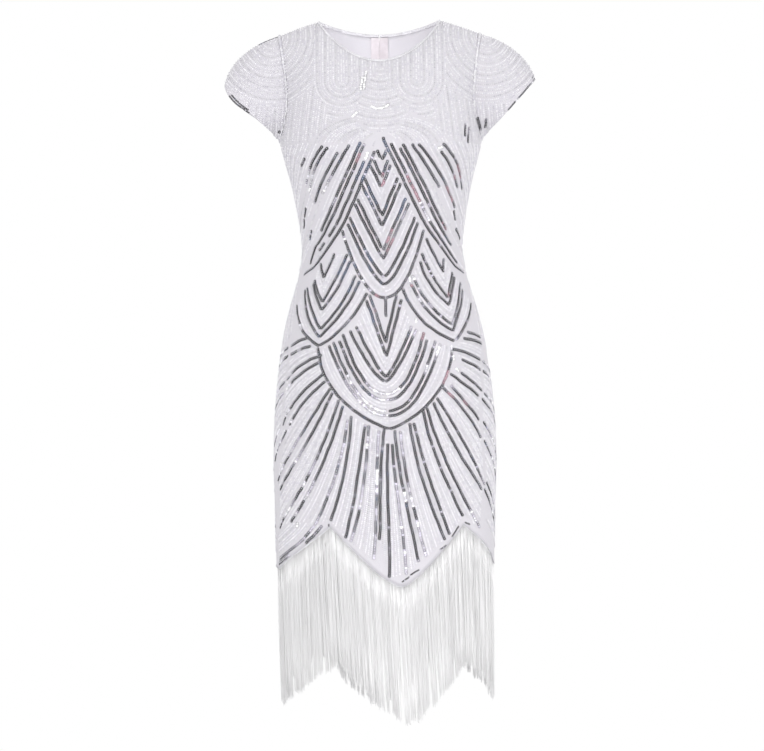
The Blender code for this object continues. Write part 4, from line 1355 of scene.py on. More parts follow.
RAYS = (
    (-9.0, -629.0, -18.0, -825.0, 0.025, "kkdkkkkkkkkkkk"),
    (-3.0, -629.0, 7.0, -822.0, -0.020, "kdgllllgll"),
    (3.0, -610.0, 24.0, -803.0, -0.030, "gkkdkk.kkdkkk"),
    (11.0, -610.0, 35.0, -797.0, -0.035, "llgkl.dlll"),
    (26.0, -600.0, 64.0, -772.0, -0.045, "dgkkgkdkkkg"),
    (32.0, -599.0, 72.0, -765.0, -0.028, "kkkkkkkkkkkd"),
    (46.0, -577.0, 95.0, -739.0, -0.042, "dkkkkkkkkkk"),
    (52.0, -574.0, 124.0, -757.0, -0.045, "kkkkkkkkkdll"),
    (63.0, -570.0, 134.0, -701.0, -0.036, "kkkkkdkkg"),
    (69.0, -563.0, 140.0, -694.0, 0.010, "kkkkkkkkdl"),
    (77.0, -547.0, 141.0, -624.0, 0.040, "gpdkkkkg"),
    (91.0, -545.0, 141.0, -598.0, 0.000, "ldkpkkk"),
    (92.0, -529.0, 143.0, -562.0, 0.000, "kkkkkkk"),
    (111.0, -528.0, 152.0, -555.0, 0.020, "dkkkk"),
    (112.0, -508.0, 154.0, -524.0, 0.020, "kkkkk"),
    (99.0, -493.0, 154.0, -509.0, 0.028, "kkkkgkk"),
    (118.0, -477.0, 166.0, -485.0, 0.020, "kkkkk"),
    (128.0, -468.0, 162.0, -475.0, 0.020, "gkkk"),
    (-12.0, -608.0, -33.0, -770.0, 0.020, "dgkkdgkkkk"),
    (-20.0, -609.0, -42.0, -799.0, 0.010, "llg.lglgll"),
    (-34.0, -601.0, -76.0, -774.0, -0.025, "glglgl.kgl"),
    (-39.0, -601.0, -84.0, -767.0, -0.010, "kkkkkkkkkkd"),
    (-58.0, -587.0, -106.0, -743.0, -0.038, "gkkkkkkkkkk"),
    (-64.0, -594.0, -131.0, -748.0, -0.045, "lgllgllggl"),
    (-70.0, -573.0, -173.0, -745.0, -0.050, "kkkkkkkkkkgll.kk.k"),
    (-76.0, -565.0, -205.0, -755.0, -0.060, "gkkdkkkkllk.kkl..kk"),
    (-81.0, -548.0, -197.0, -698.0, -0.043, "kkkkkkkkkglllkkd.k"),
    (-88.0, -548.0, -203.0, -685.0, -0.017, "kkkkkkkgll.kk..k"),
    (-94.0, -537.0, -164.0, -603.0, 0.040, "kkkkkkkkgkk.k"),
    (-97.0, -527.0, -182.0, -602.0, 0.045, "dkkkkkkkkk..kg"),
    (-101.0, -509.0, -171.0, -550.0, 0.040, "kkkkkkkk.."),
    (-99.0, -499.0, -168.0, -535.0, 0.055, "kkkkkkkk.g"),
    (-118.0, -486.0, -159.0, -498.0, 0.030, "kkk.kg"),
    (-125.0, -474.0, -159.0, -485.0, 0.030, "kkkkg"),
)
HEM_ROWS = (
    (-131.0, -748.0, -210.0, -801.0, -0.08, "lgllggdg"),
    (-118.0, -748.0, -214.0, -809.0, -0.07, "llgdlkgkgk"),
)
BEYOND_RIGHT = (
    (139.0, -699.0, 196.0, -770.0, -0.03, "kkgl.kgl."),
    (146.0, -690.0, 205.0, -757.0, -0.03, "dkl.gkl"),
    (147.0, -628.0, 206.0, -704.0, 0.00, "kgl.kl."),
    (149.0, -600.0, 210.0, -672.0, 0.02, "kl.gkl"),
    (150.0, -566.0, 210.0, -614.0, 0.03, "kgl.kl"),
    (158.0, -558.0, 212.0, -594.0, 0.03, "gl.kg"),
    (160.0, -526.0, 210.0, -546.0, 0.03, "kl.g"),
    (160.0, -511.0, 210.0, -531.0, 0.03, "g.lkg"),
)
BEYOND_LEFT = (
    (-170.0, -609.0, -214.0, -656.0, 0.02, "gl.k"),
    (-188.0, -606.0, -216.0, -634.0, 0.02, ".lg"),
    (-177.0, -553.0, -214.0, -580.0, 0.03, "l.k"),
    (-174.0, -538.0, -214.0, -560.0, 0.03, "gl."),
    (-166.0, -500.0, -208.0, -516.0, 0.03, "kl.g"),
    (-166.0, -487.0, -206.0, -501.0, 0.03, "g.l"),
)


scallop_arms = {1: ([], []), -1: ([], [])}
for row in as_rows(SCALLOP_COLUMNS, SCALLOPS):
    tip, inner, outer = ((row[f"{end}_s"], row[f"{end}_z"]) for end in ("tip", "inner", "outer"))
    arms = (bow_between(inner, tip, -row["inner_bow"]), bow_between(tip, outer, -row["outer_bow"]))
    for arm, kept, tones in zip(arms, scallop_arms[1 if tip[0] > 0 else -1], (row["inner"], row["outer"])):
        kept.append(arm)
        plan_row("scallop", arm, tones)
ray_curves, hem_curves, beyond_right, beyond_left = (
    bows(rows, "ray") for rows in (RAYS, HEM_ROWS, BEYOND_RIGHT, BEYOND_LEFT))
print("rows in the plan:", len(plan))

# %% [markdown]
# ## Pale rows between the dark ones
#
# Every gap between two dark rows is filled with rows of pale seed beads that run with
# them.  A row halfway between two curves is their average, point by point, so the pale
# rows need no table: they are all made from their dark neighbours, and from a few unseen
# guides where a neighbour is missing.

# %% Fill the gaps
PALE_GAP = 5.2
FAN_FILL = {
    1: (13.0, 31.0, 36.5, 48.0, 58.5, 63.5, 68.5, 73.0, 83.0),
    -1: (3.5, 29.5, 35.0, 45.5, 57.0, 62.0, 67.0, 76.5),
}
FAN_FILL_FROM = 93.5
FAN_FILL_TO = 215.0
HIP_GUIDES = (
    (155.0, -468.0, 158.0, -392.0, 0.0, ""),
    (206.0, -500.0, 186.0, -386.0, 0.0, ""),
)
HEM_GUIDES = (
    (133.0, -744.0, 212.0, -797.0, 0.08, ""),
    (176.0, -746.0, 214.0, -764.0, 0.03, ""),
)
DROP_GUIDE = {"axis": -2.0, "reach": 5.0, "top": -449.0, "tip": -464.0, "round": 1.0, "belly": 1.0}
pale = []


def halfway(a, b, t):
    return [(mix(p[0], q[0], t), mix(p[1], q[1], t)) for p, q in zip(a, b)]


def gap_between(a, b):
    """Widest distance from one curve to the other, in millimetres."""
    widest = 0.0
    for s, z in a[::CURVE_STEPS // 4]:
        widest = max(widest, min(math.hypot(s - p[0], z - p[1]) for p in b))
    return widest


def fill(curves):
    for a, b in zip(curves, curves[1:]):
        count = round(gap_between(a, b) / PALE_GAP)
        for n in range(1, count):
            pale.append(halfway(a, b, n / count))


for side in (1, -1):
    offsets = list(FAN_FILL[side])
    while (offsets[-1] if offsets[-1] > FAN_FILL_FROM - PALE_GAP else FAN_FILL_FROM) < FAN_FILL_TO:
        offsets.append(max(offsets[-1] + PALE_GAP, FAN_FILL_FROM))
    for offset in offsets:
        pale.append(fan_row(side, offset, 0.02, 1.0))
    for group, guides in (("shield", []), ("drop", [DROP_GUIDE])):
        rows = guides + [row for row in ogive_table if row["group"] == group]
        fill([ogive_arm(side, row) for row in rows])
    for arms in scallop_arms[side]:
        fill(arms)
    for guides, way in ((HIP_GUIDES, 1.0), (HEM_GUIDES, -1.0)):
        fill(bows([(side * a, b, side * c, d, way * e, f) for a, b, c, d, e, f in guides]))
right_rays = [curve for curve in ray_curves if curve[-1][0] > 0]
left_rays = [curve for curve in ray_curves if curve[-1][0] < 0]
for curves in (right_rays, [right_rays[0]] + left_rays, hem_curves, beyond_right, beyond_left):
    fill(curves)
print("pale rows:", len(pale))

# %% [markdown]
# Above the fans the pale rows bend inwards and meet under a small medallion below the
# neck, like water that falls from a fountain.  Each is a simple curve with one pull point.

# %% Crown of pale rows
CROWN_TOP = -193.0
CROWN_STEP = 5.4
CROWN_IN, CROWN_OUT = 20.0, 101.0
CROWN_SHIFT = 6.0               # a row starts this far out from its share of the crown
CROWN_PULL = {"up": 0.78, "in": 0.47}
MEDALLION = {"top": -72.0, "slope": 0.53, "foot": -176.0, "corner_x": 42.0, "corner_z": -149.0}
MEDALLION_GAP = 3.0


def medallion_edge(x):
    """Height of the medallion's lower edge at a distance from the centre line."""
    rise = MEDALLION["corner_z"] - MEDALLION["foot"]
    return MEDALLION["foot"] + rise * (x / MEDALLION["corner_x"]) ** 2


crown = []
offset = CROWN_IN
while offset < CROWN_OUT:
    land_s = MEDALLION["corner_x"] * offset / CROWN_OUT
    land = (land_s, medallion_edge(land_s) - MEDALLION_GAP)
    rise = CROWN_PULL["up"] * (land[1] - CROWN_TOP)
    start = (offset + CROWN_SHIFT, CROWN_TOP)
    pull = (start[0] - CROWN_PULL["in"] * rise, start[1] + rise)
    curve = []
    for t in shares(CURVE_STEPS):
        curve.append(tuple((1 - t) ** 2 * a + 2 * t * (1 - t) * b + t * t * c
                           for a, b, c in zip(start, pull, land)))
    crown.append(curve)
    crown.append([(-s, z) for s, z in curve])
    offset += CROWN_STEP
print("crown rows:", len(crown))

# %% [markdown]
# ## Sewing the plan on
#
# Now every planned row is walked on the cloth, once for the front and once for the back,
# with a sequin every few millimetres.  Each overlaps the one before, so it leans a little
# along the row, and none sits truly flat.  A sequin is left off where it would land on
# another row, over the zip or past an edge, so each row has a number of its own.

# %% Walk the rows
LEAN_ALONG = 0.13
WOBBLE = 0.10
SEQUIN_ROOM = 2.6               # a sequin's and a seed bead's share of the room between them
PEARL_ROOM = 1.15
SEQUINS_APART = 2.6             # sequins of two rows may come this near to each other
ROW_SWAY = 0.25                 # a row wanders a little to both sides of its line
SWAY_PACE = 1.7
STEP_ASIDE = 0.45
SEQUIN_LIFT = 0.25
SEQUIN_SIZES, PEARL_SIZES = (0.94, 1.04), (0.82, 1.06)
CELL = 5.0
SIDE_CLEAR = 1.5
ZIP_FOOT = 4.0
SEQUIN_CLEAR = {"zip": 6.5, "hem": 3.2}
DASH_CLEAR = {"hem": 1.0}
PEARL_CLEAR = {"zip": 5.0, "hem": 2.2}
BACK_NUMBERS, DASH_NUMBERS, PEARL_NUMBERS = 1000, 3000, 5000
SIDES = (("front", False), ("back", True))
taken = {}


def cell_of(point):
    return tuple(math.floor(v / CELL) for v in point)


def is_free(point, row_number, room):
    """True where nothing of another row is too near."""
    a, b, c = cell_of(point)
    for cell in itertools.product((a - 1, a, a + 1), (b - 1, b, b + 1), (c - 1, c, c + 1)):
        for other, number, other_room in taken.get(cell, ()):
            if number == row_number:
                continue
            both_sequins = room == SEQUIN_ROOM and other_room == SEQUIN_ROOM
            apart = SEQUINS_APART if both_sequins else room + other_room
            if (other - point).length < apart:
                return False
    return True


def take(point, row_number, room):
    taken.setdefault(cell_of(point), []).append((point, row_number, room))


def on_zip(point, clear):
    return point.y > 0 and abs(point.x) < clear and point.z > ZIP_END_Z - ZIP_FOOT


def walk(points, pitch):
    """Places every pitch along a run of points: the point, its heading and its share."""
    lengths = [0.0]
    for a, b in zip(points, points[1:]):
        lengths.append(lengths[-1] + (b - a).length)
    whole = lengths[-1]
    count = max(1, int(whole / pitch))
    start = (whole - (count - 1) * pitch) / 2
    k = 0
    for n in range(count):
        distance = start + n * pitch
        while k < len(points) - 2 and distance > lengths[k + 1]:
            k += 1
        step = max(lengths[k + 1] - lengths[k], TINY)
        point = points[k].lerp(points[k + 1], (distance - lengths[k]) / step)
        yield point, (points[k + 1] - points[k]).normalized(), distance / whole


def tip_a_little(normal, along, lean, wobble):
    tipped = normal - along * lean
    tipped += Vector((chance.uniform(-1, 1), chance.uniform(-1, 1), chance.uniform(-1, 1))) * wobble
    return tipped.normalized()


def to_body(curve, back, hem_clear):
    """Runs of points on the body's form for a curve of (s, z) places."""
    runs, points = [], []
    for s, z in curve:
        angle = angle_of(s, z, back)
        off_side = abs(s) > side_distance(z, back, s) - SIDE_CLEAR
        if off_side or z < hem_height(angle) + hem_clear:
            if len(points) > 1:
                runs.append(points)
            points = []
            continue
        points.append(ring_point(angle, z))
    if len(points) > 1:
        runs.append(points)
    return runs


def sew_sequins(points, tones, number, places, size=1.0):
    for point, along, share in walk(points, SEQUIN_PITCH * size):
        found = on_cloth(point)
        if found is None or on_zip(found[0], SEQUIN_CLEAR["zip"]):
            continue
        spot, normal = found
        if not is_free(spot, number, SEQUIN_ROOM):
            continue
        take(spot, number, SEQUIN_ROOM)
        aside = ROW_SWAY * math.sin(share * len(tones) * SWAY_PACE + number)
        aside = (aside + chance.uniform(-STEP_ASIDE, STEP_ASIDE)) * size
        spot = spot + along.cross(normal) * aside
        # Painted reflection: the tint that stands for what this sequin mirrors.
        colour = painted_reflection_along(tones, share)
        tipped = tip_a_little(normal, along, LEAN_ALONG, WOBBLE)
        spot = spot + normal * SEQUIN_LIFT
        places.append((spot, tipped, along, colour, size * chance.uniform(*SEQUIN_SIZES)))


for side_name, back in SIDES:
    groups = {}
    for number, row in enumerate(plan, BACK_NUMBERS if back else 0):
        places = groups.setdefault(row["group"], [])
        for points in to_body(row["curve"], back, SEQUIN_CLEAR["hem"]):
            sew_sequins(points, row["tones"], number, places)
    for group, places in groups.items():
        sew_on(f"sequins_{group}_{side_name}", sequin, places, foil, dish_points)

# %% [markdown]
# A few short dashes stand on their own: at the sides, where the pattern of the front gives
# out, on the hem's points and peaks, and along the sleeves' hems.  A row on the body is
# given by its distance and height, one on a sleeve by its steps round the armhole and out
# towards the hem.  The glints are painted highlights: short rows of sequins whose tint is
# painted pure white, as if they faced the light fully.

# %% Loose dashes and glints
SIDE_DASHES = (
    (-121.0, -210.0, -130.0, -221.0, 0.0, "kgk"),
    (-120.0, -314.0, -124.0, -328.0, 0.0, "kkk"),
    (-129.0, -281.0, -134.0, -294.0, 0.0, "kdk"),
    (-135.0, -297.0, -141.0, -310.0, 0.0, "kkk"),
    (-108.5, -336.0, -124.0, -364.0, 0.0, "kkkkd"),
    (-92.0, -333.0, -103.0, -346.0, 0.0, "kkk"),
    (143.0, -166.0, 142.0, -190.0, 0.0, "gkkk"),
    (135.0, -160.0, 134.0, -182.0, 0.0, "lgkd"),
    (117.0, -287.0, 120.0, -303.0, 0.0, "dkkd"),
    (123.0, -313.0, 139.0, -329.0, 0.0, "kkgk"),
    (-110.0, -762.0, -108.0, -746.0, 0.0, "kkk"),
    (0.0, -832.0, 11.0, -824.0, 0.0, "kkkk"),
    (12.0, -822.0, 25.0, -814.0, 0.0, "kkk"),
    (56.0, -786.0, 66.0, -780.0, 0.0, "kk"),
    (75.0, -768.0, 87.0, -752.0, 0.0, "kkkk"),
    (97.0, -747.0, 106.0, -751.0, 0.0, "kkk"),
)
SLEEVE_DASH_COLUMNS = ("left", "k0", "m0", "k1", "m1", "tones")
SLEEVE_DASHES = (
    (False, 2.8, 4.93, 4.8, 4.93, "kkkkkkkk"),
    (False, 2.9, 4.72, 4.6, 4.72, "kkkkk"),
    (False, 0.35, 0.0, 0.35, 1.5, "kgkdk"),
    (False, 7.8, 1.0, 8.3, 1.3, "kk"),
    (True, 0.4, 4.93, 5.0, 4.93, "dkd.gkdk.kd"),
    (True, 0.6, 4.70, 1.6, 4.70, "kgk"),
    (True, 6.6, 0.5, 8.2, 0.5, "kgkg"),
    (True, 6.7, 2.4, 7.9, 2.4, "gkd"),
)
SMALL_SEQUIN = 0.5              # size of the sequins along the hems
SLEEVE_SEQUIN = 0.8
SMALL_BELOW_Z = -740.0
SMALL_FROM_STEP = 4.0
DASH_STEPS, GLINT_STEPS = 24, 12
FAR_IN_FRONT = -400.0
# Painted highlights: short rows of sequins, given as seen from the front, tinted pure white.
GLINT_COLUMNS = ("x0", "z0", "x1", "z1", "sag")
GLINTS = (
    (-20.0, -82.0, -25.0, -115.0, 0.0),
    (-25.5, -92.0, -29.5, -114.0, 0.0),
    (-15.0, -138.0, 13.0, -135.0, -5.0),
    (-42.0, -154.0, -34.0, -146.0, 0.0),
    (-19.0, -204.0, -23.0, -218.0, 0.0),
    (82.0, -200.0, 91.0, -199.0, 0.0),
    (37.0, -388.0, 42.0, -397.0, 0.0),
    (101.0, -500.0, 103.0, -511.0, 0.0),
    (104.0, -520.0, 112.0, -526.0, 0.0),
    (47.0, -446.0, 49.0, -454.0, 0.0),
    (-130.0, -744.0, -131.0, -753.0, 0.0),
)


def seen_from_front(x, z):
    """The place of the front cloth at so far from the middle and so high."""
    found = cloth_tree.ray_cast(Vector((x, FAR_IN_FRONT, z)), Vector((0.0, 1.0, 0.0)))
    return found[0]


dashes = []
number = DASH_NUMBERS
for row, curve in zip(as_rows(BOW_COLUMNS, SIDE_DASHES), bows(SIDE_DASHES)):
    number += 1
    size = SMALL_SEQUIN if row["start_z"] < SMALL_BELOW_Z else 1.0
    for points in to_body(curve, False, DASH_CLEAR["hem"]):
        sew_sequins(points, row["tones"], number, dashes, size)
for row in as_rows(SLEEVE_DASH_COLUMNS, SLEEVE_DASHES):
    number += 1
    lengths = armhole_lengths(row["left"])
    points = []
    for t in shares(DASH_STEPS):
        k, m = (mix(row[f"{way}0"], row[f"{way}1"], t) for way in "km")
        points.append(sleeve_point(k, m, row["left"], lengths))
    size = SMALL_SEQUIN if row["m0"] > SMALL_FROM_STEP else SLEEVE_SEQUIN
    sew_sequins(points, row["tones"], number, dashes, size)
for row in as_rows(GLINT_COLUMNS, GLINTS):
    number += 1
    points = []
    for t in shares(GLINT_STEPS):
        sag = row["sag"] * 4.0 * t * (1.0 - t)
        found = seen_from_front(mix(row["x0"], row["x1"], t), mix(row["z0"], row["z1"], t) + sag)
        if found is not None:
            points.append(found)
    # Painted highlight: every sequin of a glint gets the pure white tint 'w'.
    sew_sequins(points, "w", number, dashes)
sew_on("sequins_dashes", sequin, dashes, foil, dish_points)

# %% [markdown]
# ## Seed beads on the yoke and the sleeves
#
# Above the bust the dress is covered in close rows of pearly seed beads.  They are set out
# in scallops: two U shapes beside the neck, a medallion in the middle and big rings over
# each shoulder, with upright rows below.  Each family is a measure over the cloth, such as
# the distance from a scallop's centre, and a row of beads follows wherever that measure
# has the same value.  Finding such lines on a grid of faces is how height lines are drawn.

# %% Families of bead rows
NECK_SCALLOP = {"x": 55.0, "z": -98.0, "radius": 42.0, "out": 104.0, "beyond": 66.0, "beyond_out": 78.0}
SHOULDER_SCALLOP = {"x": 160.0, "z": -24.0, "radius": 93.0, "flatter": 0.85}
CROWN_EDGE = {"drop": 46.0, "reach": 65.0, "gap": 2.0}
UPRIGHT_SLANT = 0.12
ROW_PITCH = 3.9


def equal_lines(sheet, measure, pitch, start):
    """Runs of points along which the measure keeps one of its even values."""
    values = [measure(point) for point in sheet["points"]]
    links = {}
    for face in sheet["faces"]:
        corners = [values[v] for v in face]
        first = math.ceil((min(corners) - start) / pitch)
        last = math.floor((max(corners) - start) / pitch)
        for n in range(max(first, 0), last + 1):
            level = start + n * pitch
            cuts = []
            for a, b in zip(face, face[1:] + face[:1]):
                if (values[a] < level) != (values[b] < level):
                    cuts.append((min(a, b), max(a, b)))
            if len(cuts) == 2:
                here = links.setdefault(n, {})
                here.setdefault(cuts[0], []).append(cuts[1])
                here.setdefault(cuts[1], []).append(cuts[0])
    for n, graph in sorted(links.items()):
        level = start + n * pitch
        left_over = dict(graph)
        ends = [edge for edge, others in graph.items() if len(others) == 1]
        for first_edge in ends + list(graph):
            if first_edge not in left_over:
                continue
            run, edge = [], first_edge
            while edge is not None:
                others = left_over.pop(edge)
                a, b = edge
                t = (level - values[a]) / (values[b] - values[a])
                run.append(sheet["points"][a].lerp(sheet["points"][b], t))
                edge = next((other for other in others if other in left_over), None)
            if len(run) > 1:
                yield n, run


def crown_edge(x):
    """Height of the outermost crown row, under which the fans begin."""
    if x < MEDALLION["corner_x"]:
        return medallion_edge(x)
    out_by = (x - MEDALLION["corner_x"]) / CROWN_EDGE["reach"]
    return MEDALLION["corner_z"] - CROWN_EDGE["drop"] * out_by ** 1.5


def medallion_measure(point):
    return math.hypot(point.x, point.z - MEDALLION["top"])


def neck_measure(point):
    return math.hypot(abs(point.x) - NECK_SCALLOP["x"], min(point.z - NECK_SCALLOP["z"], 0.0))


def shoulder_measure(point):
    below = (point.z - SHOULDER_SCALLOP["z"]) * SHOULDER_SCALLOP["flatter"]
    return math.hypot(abs(point.x) - SHOULDER_SCALLOP["x"], below)


def upright_measure(point):
    return abs(point.x) + UPRIGHT_SLANT * (point.z - YOKE_FOOT)


def family_at(point):
    """Which family of bead rows owns a place on the yoke or a sleeve, or None."""
    x = abs(point.x)
    below = MEDALLION["top"] - point.z
    if x < MEDALLION["slope"] * below and point.z > medallion_edge(x):
        return "medallion"
    if neck_measure(point) < NECK_SCALLOP["radius"] and x < NECK_SCALLOP["out"]:
        return "neck"
    if shoulder_measure(point) < SHOULDER_SCALLOP["radius"]:
        return "shoulder"
    if point.z < crown_edge(x) + CROWN_EDGE["gap"]:
        return None
    if neck_measure(point) < NECK_SCALLOP["beyond"] and x < NECK_SCALLOP["beyond_out"]:
        return "neck"
    return "upright"


FAMILIES = {
    "medallion": (medallion_measure, 6.0),
    "neck": (neck_measure, 2.0),
    "shoulder": (shoulder_measure, 4.0),
    "upright": (upright_measure, 1.6),
}
PEARL_TINTS = ((0.86, 0.86, 0.87), (0.82, 0.81, 0.84), (0.92, 0.92, 0.93), (0.73, 0.72, 0.77))
ROW_GAINS = (1.0, 0.94, 0.80, 1.0, 0.90, 0.98, 0.76)
YOKE_SHADE = 0.90               # the yoke's beads are a little greyer than the streaks below
STREAK_SHADE = 0.97
PEARL_WOBBLE = 0.14
SEAM_PEARL = 1.7                # the armhole seams are hidden under a row of larger beads
SEAM_LIFT = 1.1
SEAM_SHADE = 0.83
SEAM_FINE = 4


def sew_pearls(points, number, gain, places, stop=None, size=1.0):
    for point, along, _ in walk(points, PEARL_PITCH / size ** 0.5):
        if (stop and stop(point)) or on_zip(point, PEARL_CLEAR["zip"]):
            continue
        found = on_cloth(point)
        if found is None:
            continue
        spot, normal = found
        if not is_free(spot, number, PEARL_ROOM):
            continue
        take(spot, number, PEARL_ROOM)
        tint = [min(1.0, part * gain) for part in chance.choice(PEARL_TINTS)]
        tipped = tip_a_little(normal, along, 0.0, PEARL_WOBBLE)
        raised = spot + normal * (size - 1.0) * SEAM_LIFT
        places.append((raised, tipped, along, tint, size * chance.uniform(*PEARL_SIZES)))


def bead_sheet(sheet_name, places, number):
    sheet = sheets[sheet_name]
    is_sleeve = sheet_name.startswith("sleeve")
    for family, (measure, start) in FAMILIES.items():
        for n, run in equal_lines(sheet, measure, ROW_PITCH, start):
            if all(point.z < YOKE_FOOT for point in run):
                continue
            number += 1

            def outside(point):
                return family_at(point) != family or (point.z < YOKE_FOOT and not is_sleeve)

            sew_pearls(run, number, YOKE_SHADE * ROW_GAINS[n % len(ROW_GAINS)], places, outside)
    return number


number = PEARL_NUMBERS
seam_places = []
for left in (False, True):
    number += 1
    seam = [armhole_point(k / SEAM_FINE, left) for k in range(SEAM_FINE * SLEEVE_AROUND + 1)]
    sew_pearls(seam, number, SEAM_SHADE, seam_places, size=SEAM_PEARL)
sew_on("armhole_beads", pearl, seam_places, seed_bead)
for name, sheet_names in (
    ("yoke_beads_front", ("front_net",)),
    ("yoke_beads_back", ("back_left_net", "back_right_net")),
    ("sleeve_beads", ("sleeve_left_net", "sleeve_right_net")),
):
    places = []
    for sheet_name in sheet_names:
        number = bead_sheet(sheet_name, places, number)
    sew_on(name, pearl, places, seed_bead)

# %% Pale rows of the crown and of the gaps
for side_name, back in SIDES:
    places = []
    for curves, shade in ((crown, YOKE_SHADE), (pale, STREAK_SHADE)):
        for curve in curves:
            number += 1
            for points in to_body(curve, back, PEARL_CLEAR["hem"]):
                sew_pearls(points, number, shade * ROW_GAINS[number % len(ROW_GAINS)], places)
    sew_on(f"streak_beads_{side_name}", pearl, places, seed_bead)

# %% [markdown]
# ## Hem cord and fringe
#
# A thin cord edges the pointed hem, and behind it a narrow braid carries the fringe.  The
# fringe is some 2600 loose threads, each about as thick as a pin.  They hang in loose
# locks, are cut a little unevenly and follow the hem's points.  A hair system would hang
# them too, but plain threads in one mesh are what the export keeps.

# %% Walking the hem, and a bar swept along a run
FRINGE_LENGTH = 203.0
FRINGE_LEAN = 0.012
FRINGE_SWAY = 9.5               # the front and back threads hang a little to one side
THREAD_RADIUS = 0.38
THREAD_SPACING = 0.42
THREAD_JOINTS = 5
LOCK_WIDTH = 7.0
LOCK_SWAY = 2.2
LOCK_RANGES = {"wide": (0.5, 1.6), "sway": (-1.0, 1.0), "gather": (0.1, 0.5), "tone": (0.96, 1.0),
               "cut": (-5.0, 3.0)}
THREAD_RANGES = {"behind": (1.6, 4.0), "cut": (-5.0, 2.5), "drift": (-1.2, 1.2), "bend": (-1.6, 1.6),
                 "root": (0.0, 2.0), "bow": (-1.5, 1.5), "thick": (0.8, 1.15), "twist": (-0.5, 0.5),
                 "tone": (0.96, 1.0)}
HEM_OVAL = (165.0, 112.0)
CORD_RADIUS, CORD_OUT, CORD_SIDES = 0.6, 0.1, 6
CORD_STEPS, BRAID_STEPS, ROOT_STEPS = 400, 220, 500
SKY = Vector((0.0, 0.0, 1.0))


def outward_at(point):
    """Level direction away from the oval that the hem's ring nearly is."""
    return Vector((point.x / HEM_OVAL[0] ** 2, point.y / HEM_OVAL[1] ** 2, 0.0)).normalized()


def hem_run(first_angle, last_angle, steps):
    """Points, outward directions and upward directions along the hem."""
    run = []
    for t in shares(steps):
        angle = mix(first_angle, last_angle, t)
        point = ring_point(angle, hem_height(angle))
        run.append((point, outward_at(point), SKY))
    return run


def heading_at(run, n):
    """Direction of a run at one of its entries, from the points of its neighbours."""
    ahead = run[min(n + 1, len(run) - 1)][0]
    behind = run[max(n - 1, 0)][0]
    return (ahead - behind).normalized()


def sweep_bar(name, run, profile, material):
    """Pull a closed outline, given as (outward, upward), along a run and cap its ends."""
    bm = bmesh.new()
    face = None
    for n, (point, outward, upward) in enumerate(run):
        along = heading_at(run, n)
        square_up = (upward - along * upward.dot(along)).normalized()
        square_out = (outward - along * outward.dot(along)).normalized()
        places = [point + square_out * a + square_up * b for a, b in profile]
        if face is None:
            face = bm.faces.new([bm.verts.new(place) for place in places])
            continue
        made = bmesh.ops.extrude_face_region(bm, geom=[face])
        face = next(item for item in made["geom"] if isinstance(item, bmesh.types.BMFace))
        for vert, place in zip(face.verts, places):
            vert.co = place
    bmesh.ops.recalc_face_normals(bm, faces=bm.faces[:])
    return new_piece(name, bm, material)


whole_hem = hem_run(-180.0, 180.0, CORD_STEPS)
hem_length = sum((b[0] - a[0]).length for a, b in zip(whole_hem, whole_hem[1:]))
cord_turns = [math.tau * n / CORD_SIDES for n in range(CORD_SIDES)]
cord_outline = [(CORD_OUT + CORD_RADIUS * math.cos(t), CORD_RADIUS * math.sin(t)) for t in cord_turns]
cord = sweep_bar("hem_cord", whole_hem, cord_outline, hem_satin)
braid_outline = [(-1.7, 4.5), (-1.7, -1.2), (-2.3, -1.6), (-2.9, -1.2), (-2.9, 4.5), (-2.3, 4.9)]
for side_name, first in (("front", -90.0), ("back", 90.0)):
    run = hem_run(first, first + 180.0, BRAID_STEPS)
    sweep_bar(f"fringe_braid_{side_name}", run, braid_outline, braid_cotton)
print("hem:", round(hem_length), "mm round; cord faces:", len(cord.data.polygons))


# %% Threads of the fringe
def make_thread_shape():
    """A thin three-sided thread from 0 down to -1, jointed so that it can bend."""
    bm = bmesh.new()
    bmesh.ops.create_circle(bm, cap_ends=True, segments=3, radius=THREAD_RADIUS)
    turn_shape(bm, math.pi, "Z")
    bm.faces.ensure_lookup_table()
    face = bm.faces[0]
    for _ in range(THREAD_JOINTS):
        made = bmesh.ops.extrude_face_region(bm, geom=[face])
        face = next(item for item in made["geom"] if isinstance(item, bmesh.types.BMFace))
        bmesh.ops.translate(bm, verts=face.verts[:], vec=(0.0, 0.0, -1.0 / THREAD_JOINTS))
    return shape_arrays(bm)


thread_points, thread_faces = make_thread_shape()
down = -thread_points[:, 2]


def draw_from(ranges, local):
    return {name: local.uniform(*span) for name, span in ranges.items()}


def locks_along(length, local):
    """Locks side by side: each has a start, a width and a look of its own."""
    locks, start = [], 0.0
    while start < length:
        lock = draw_from(LOCK_RANGES, local)
        lock["start"] = start
        lock["wide"] *= LOCK_WIDTH
        locks.append(lock)
        start += lock["wide"]
    return locks


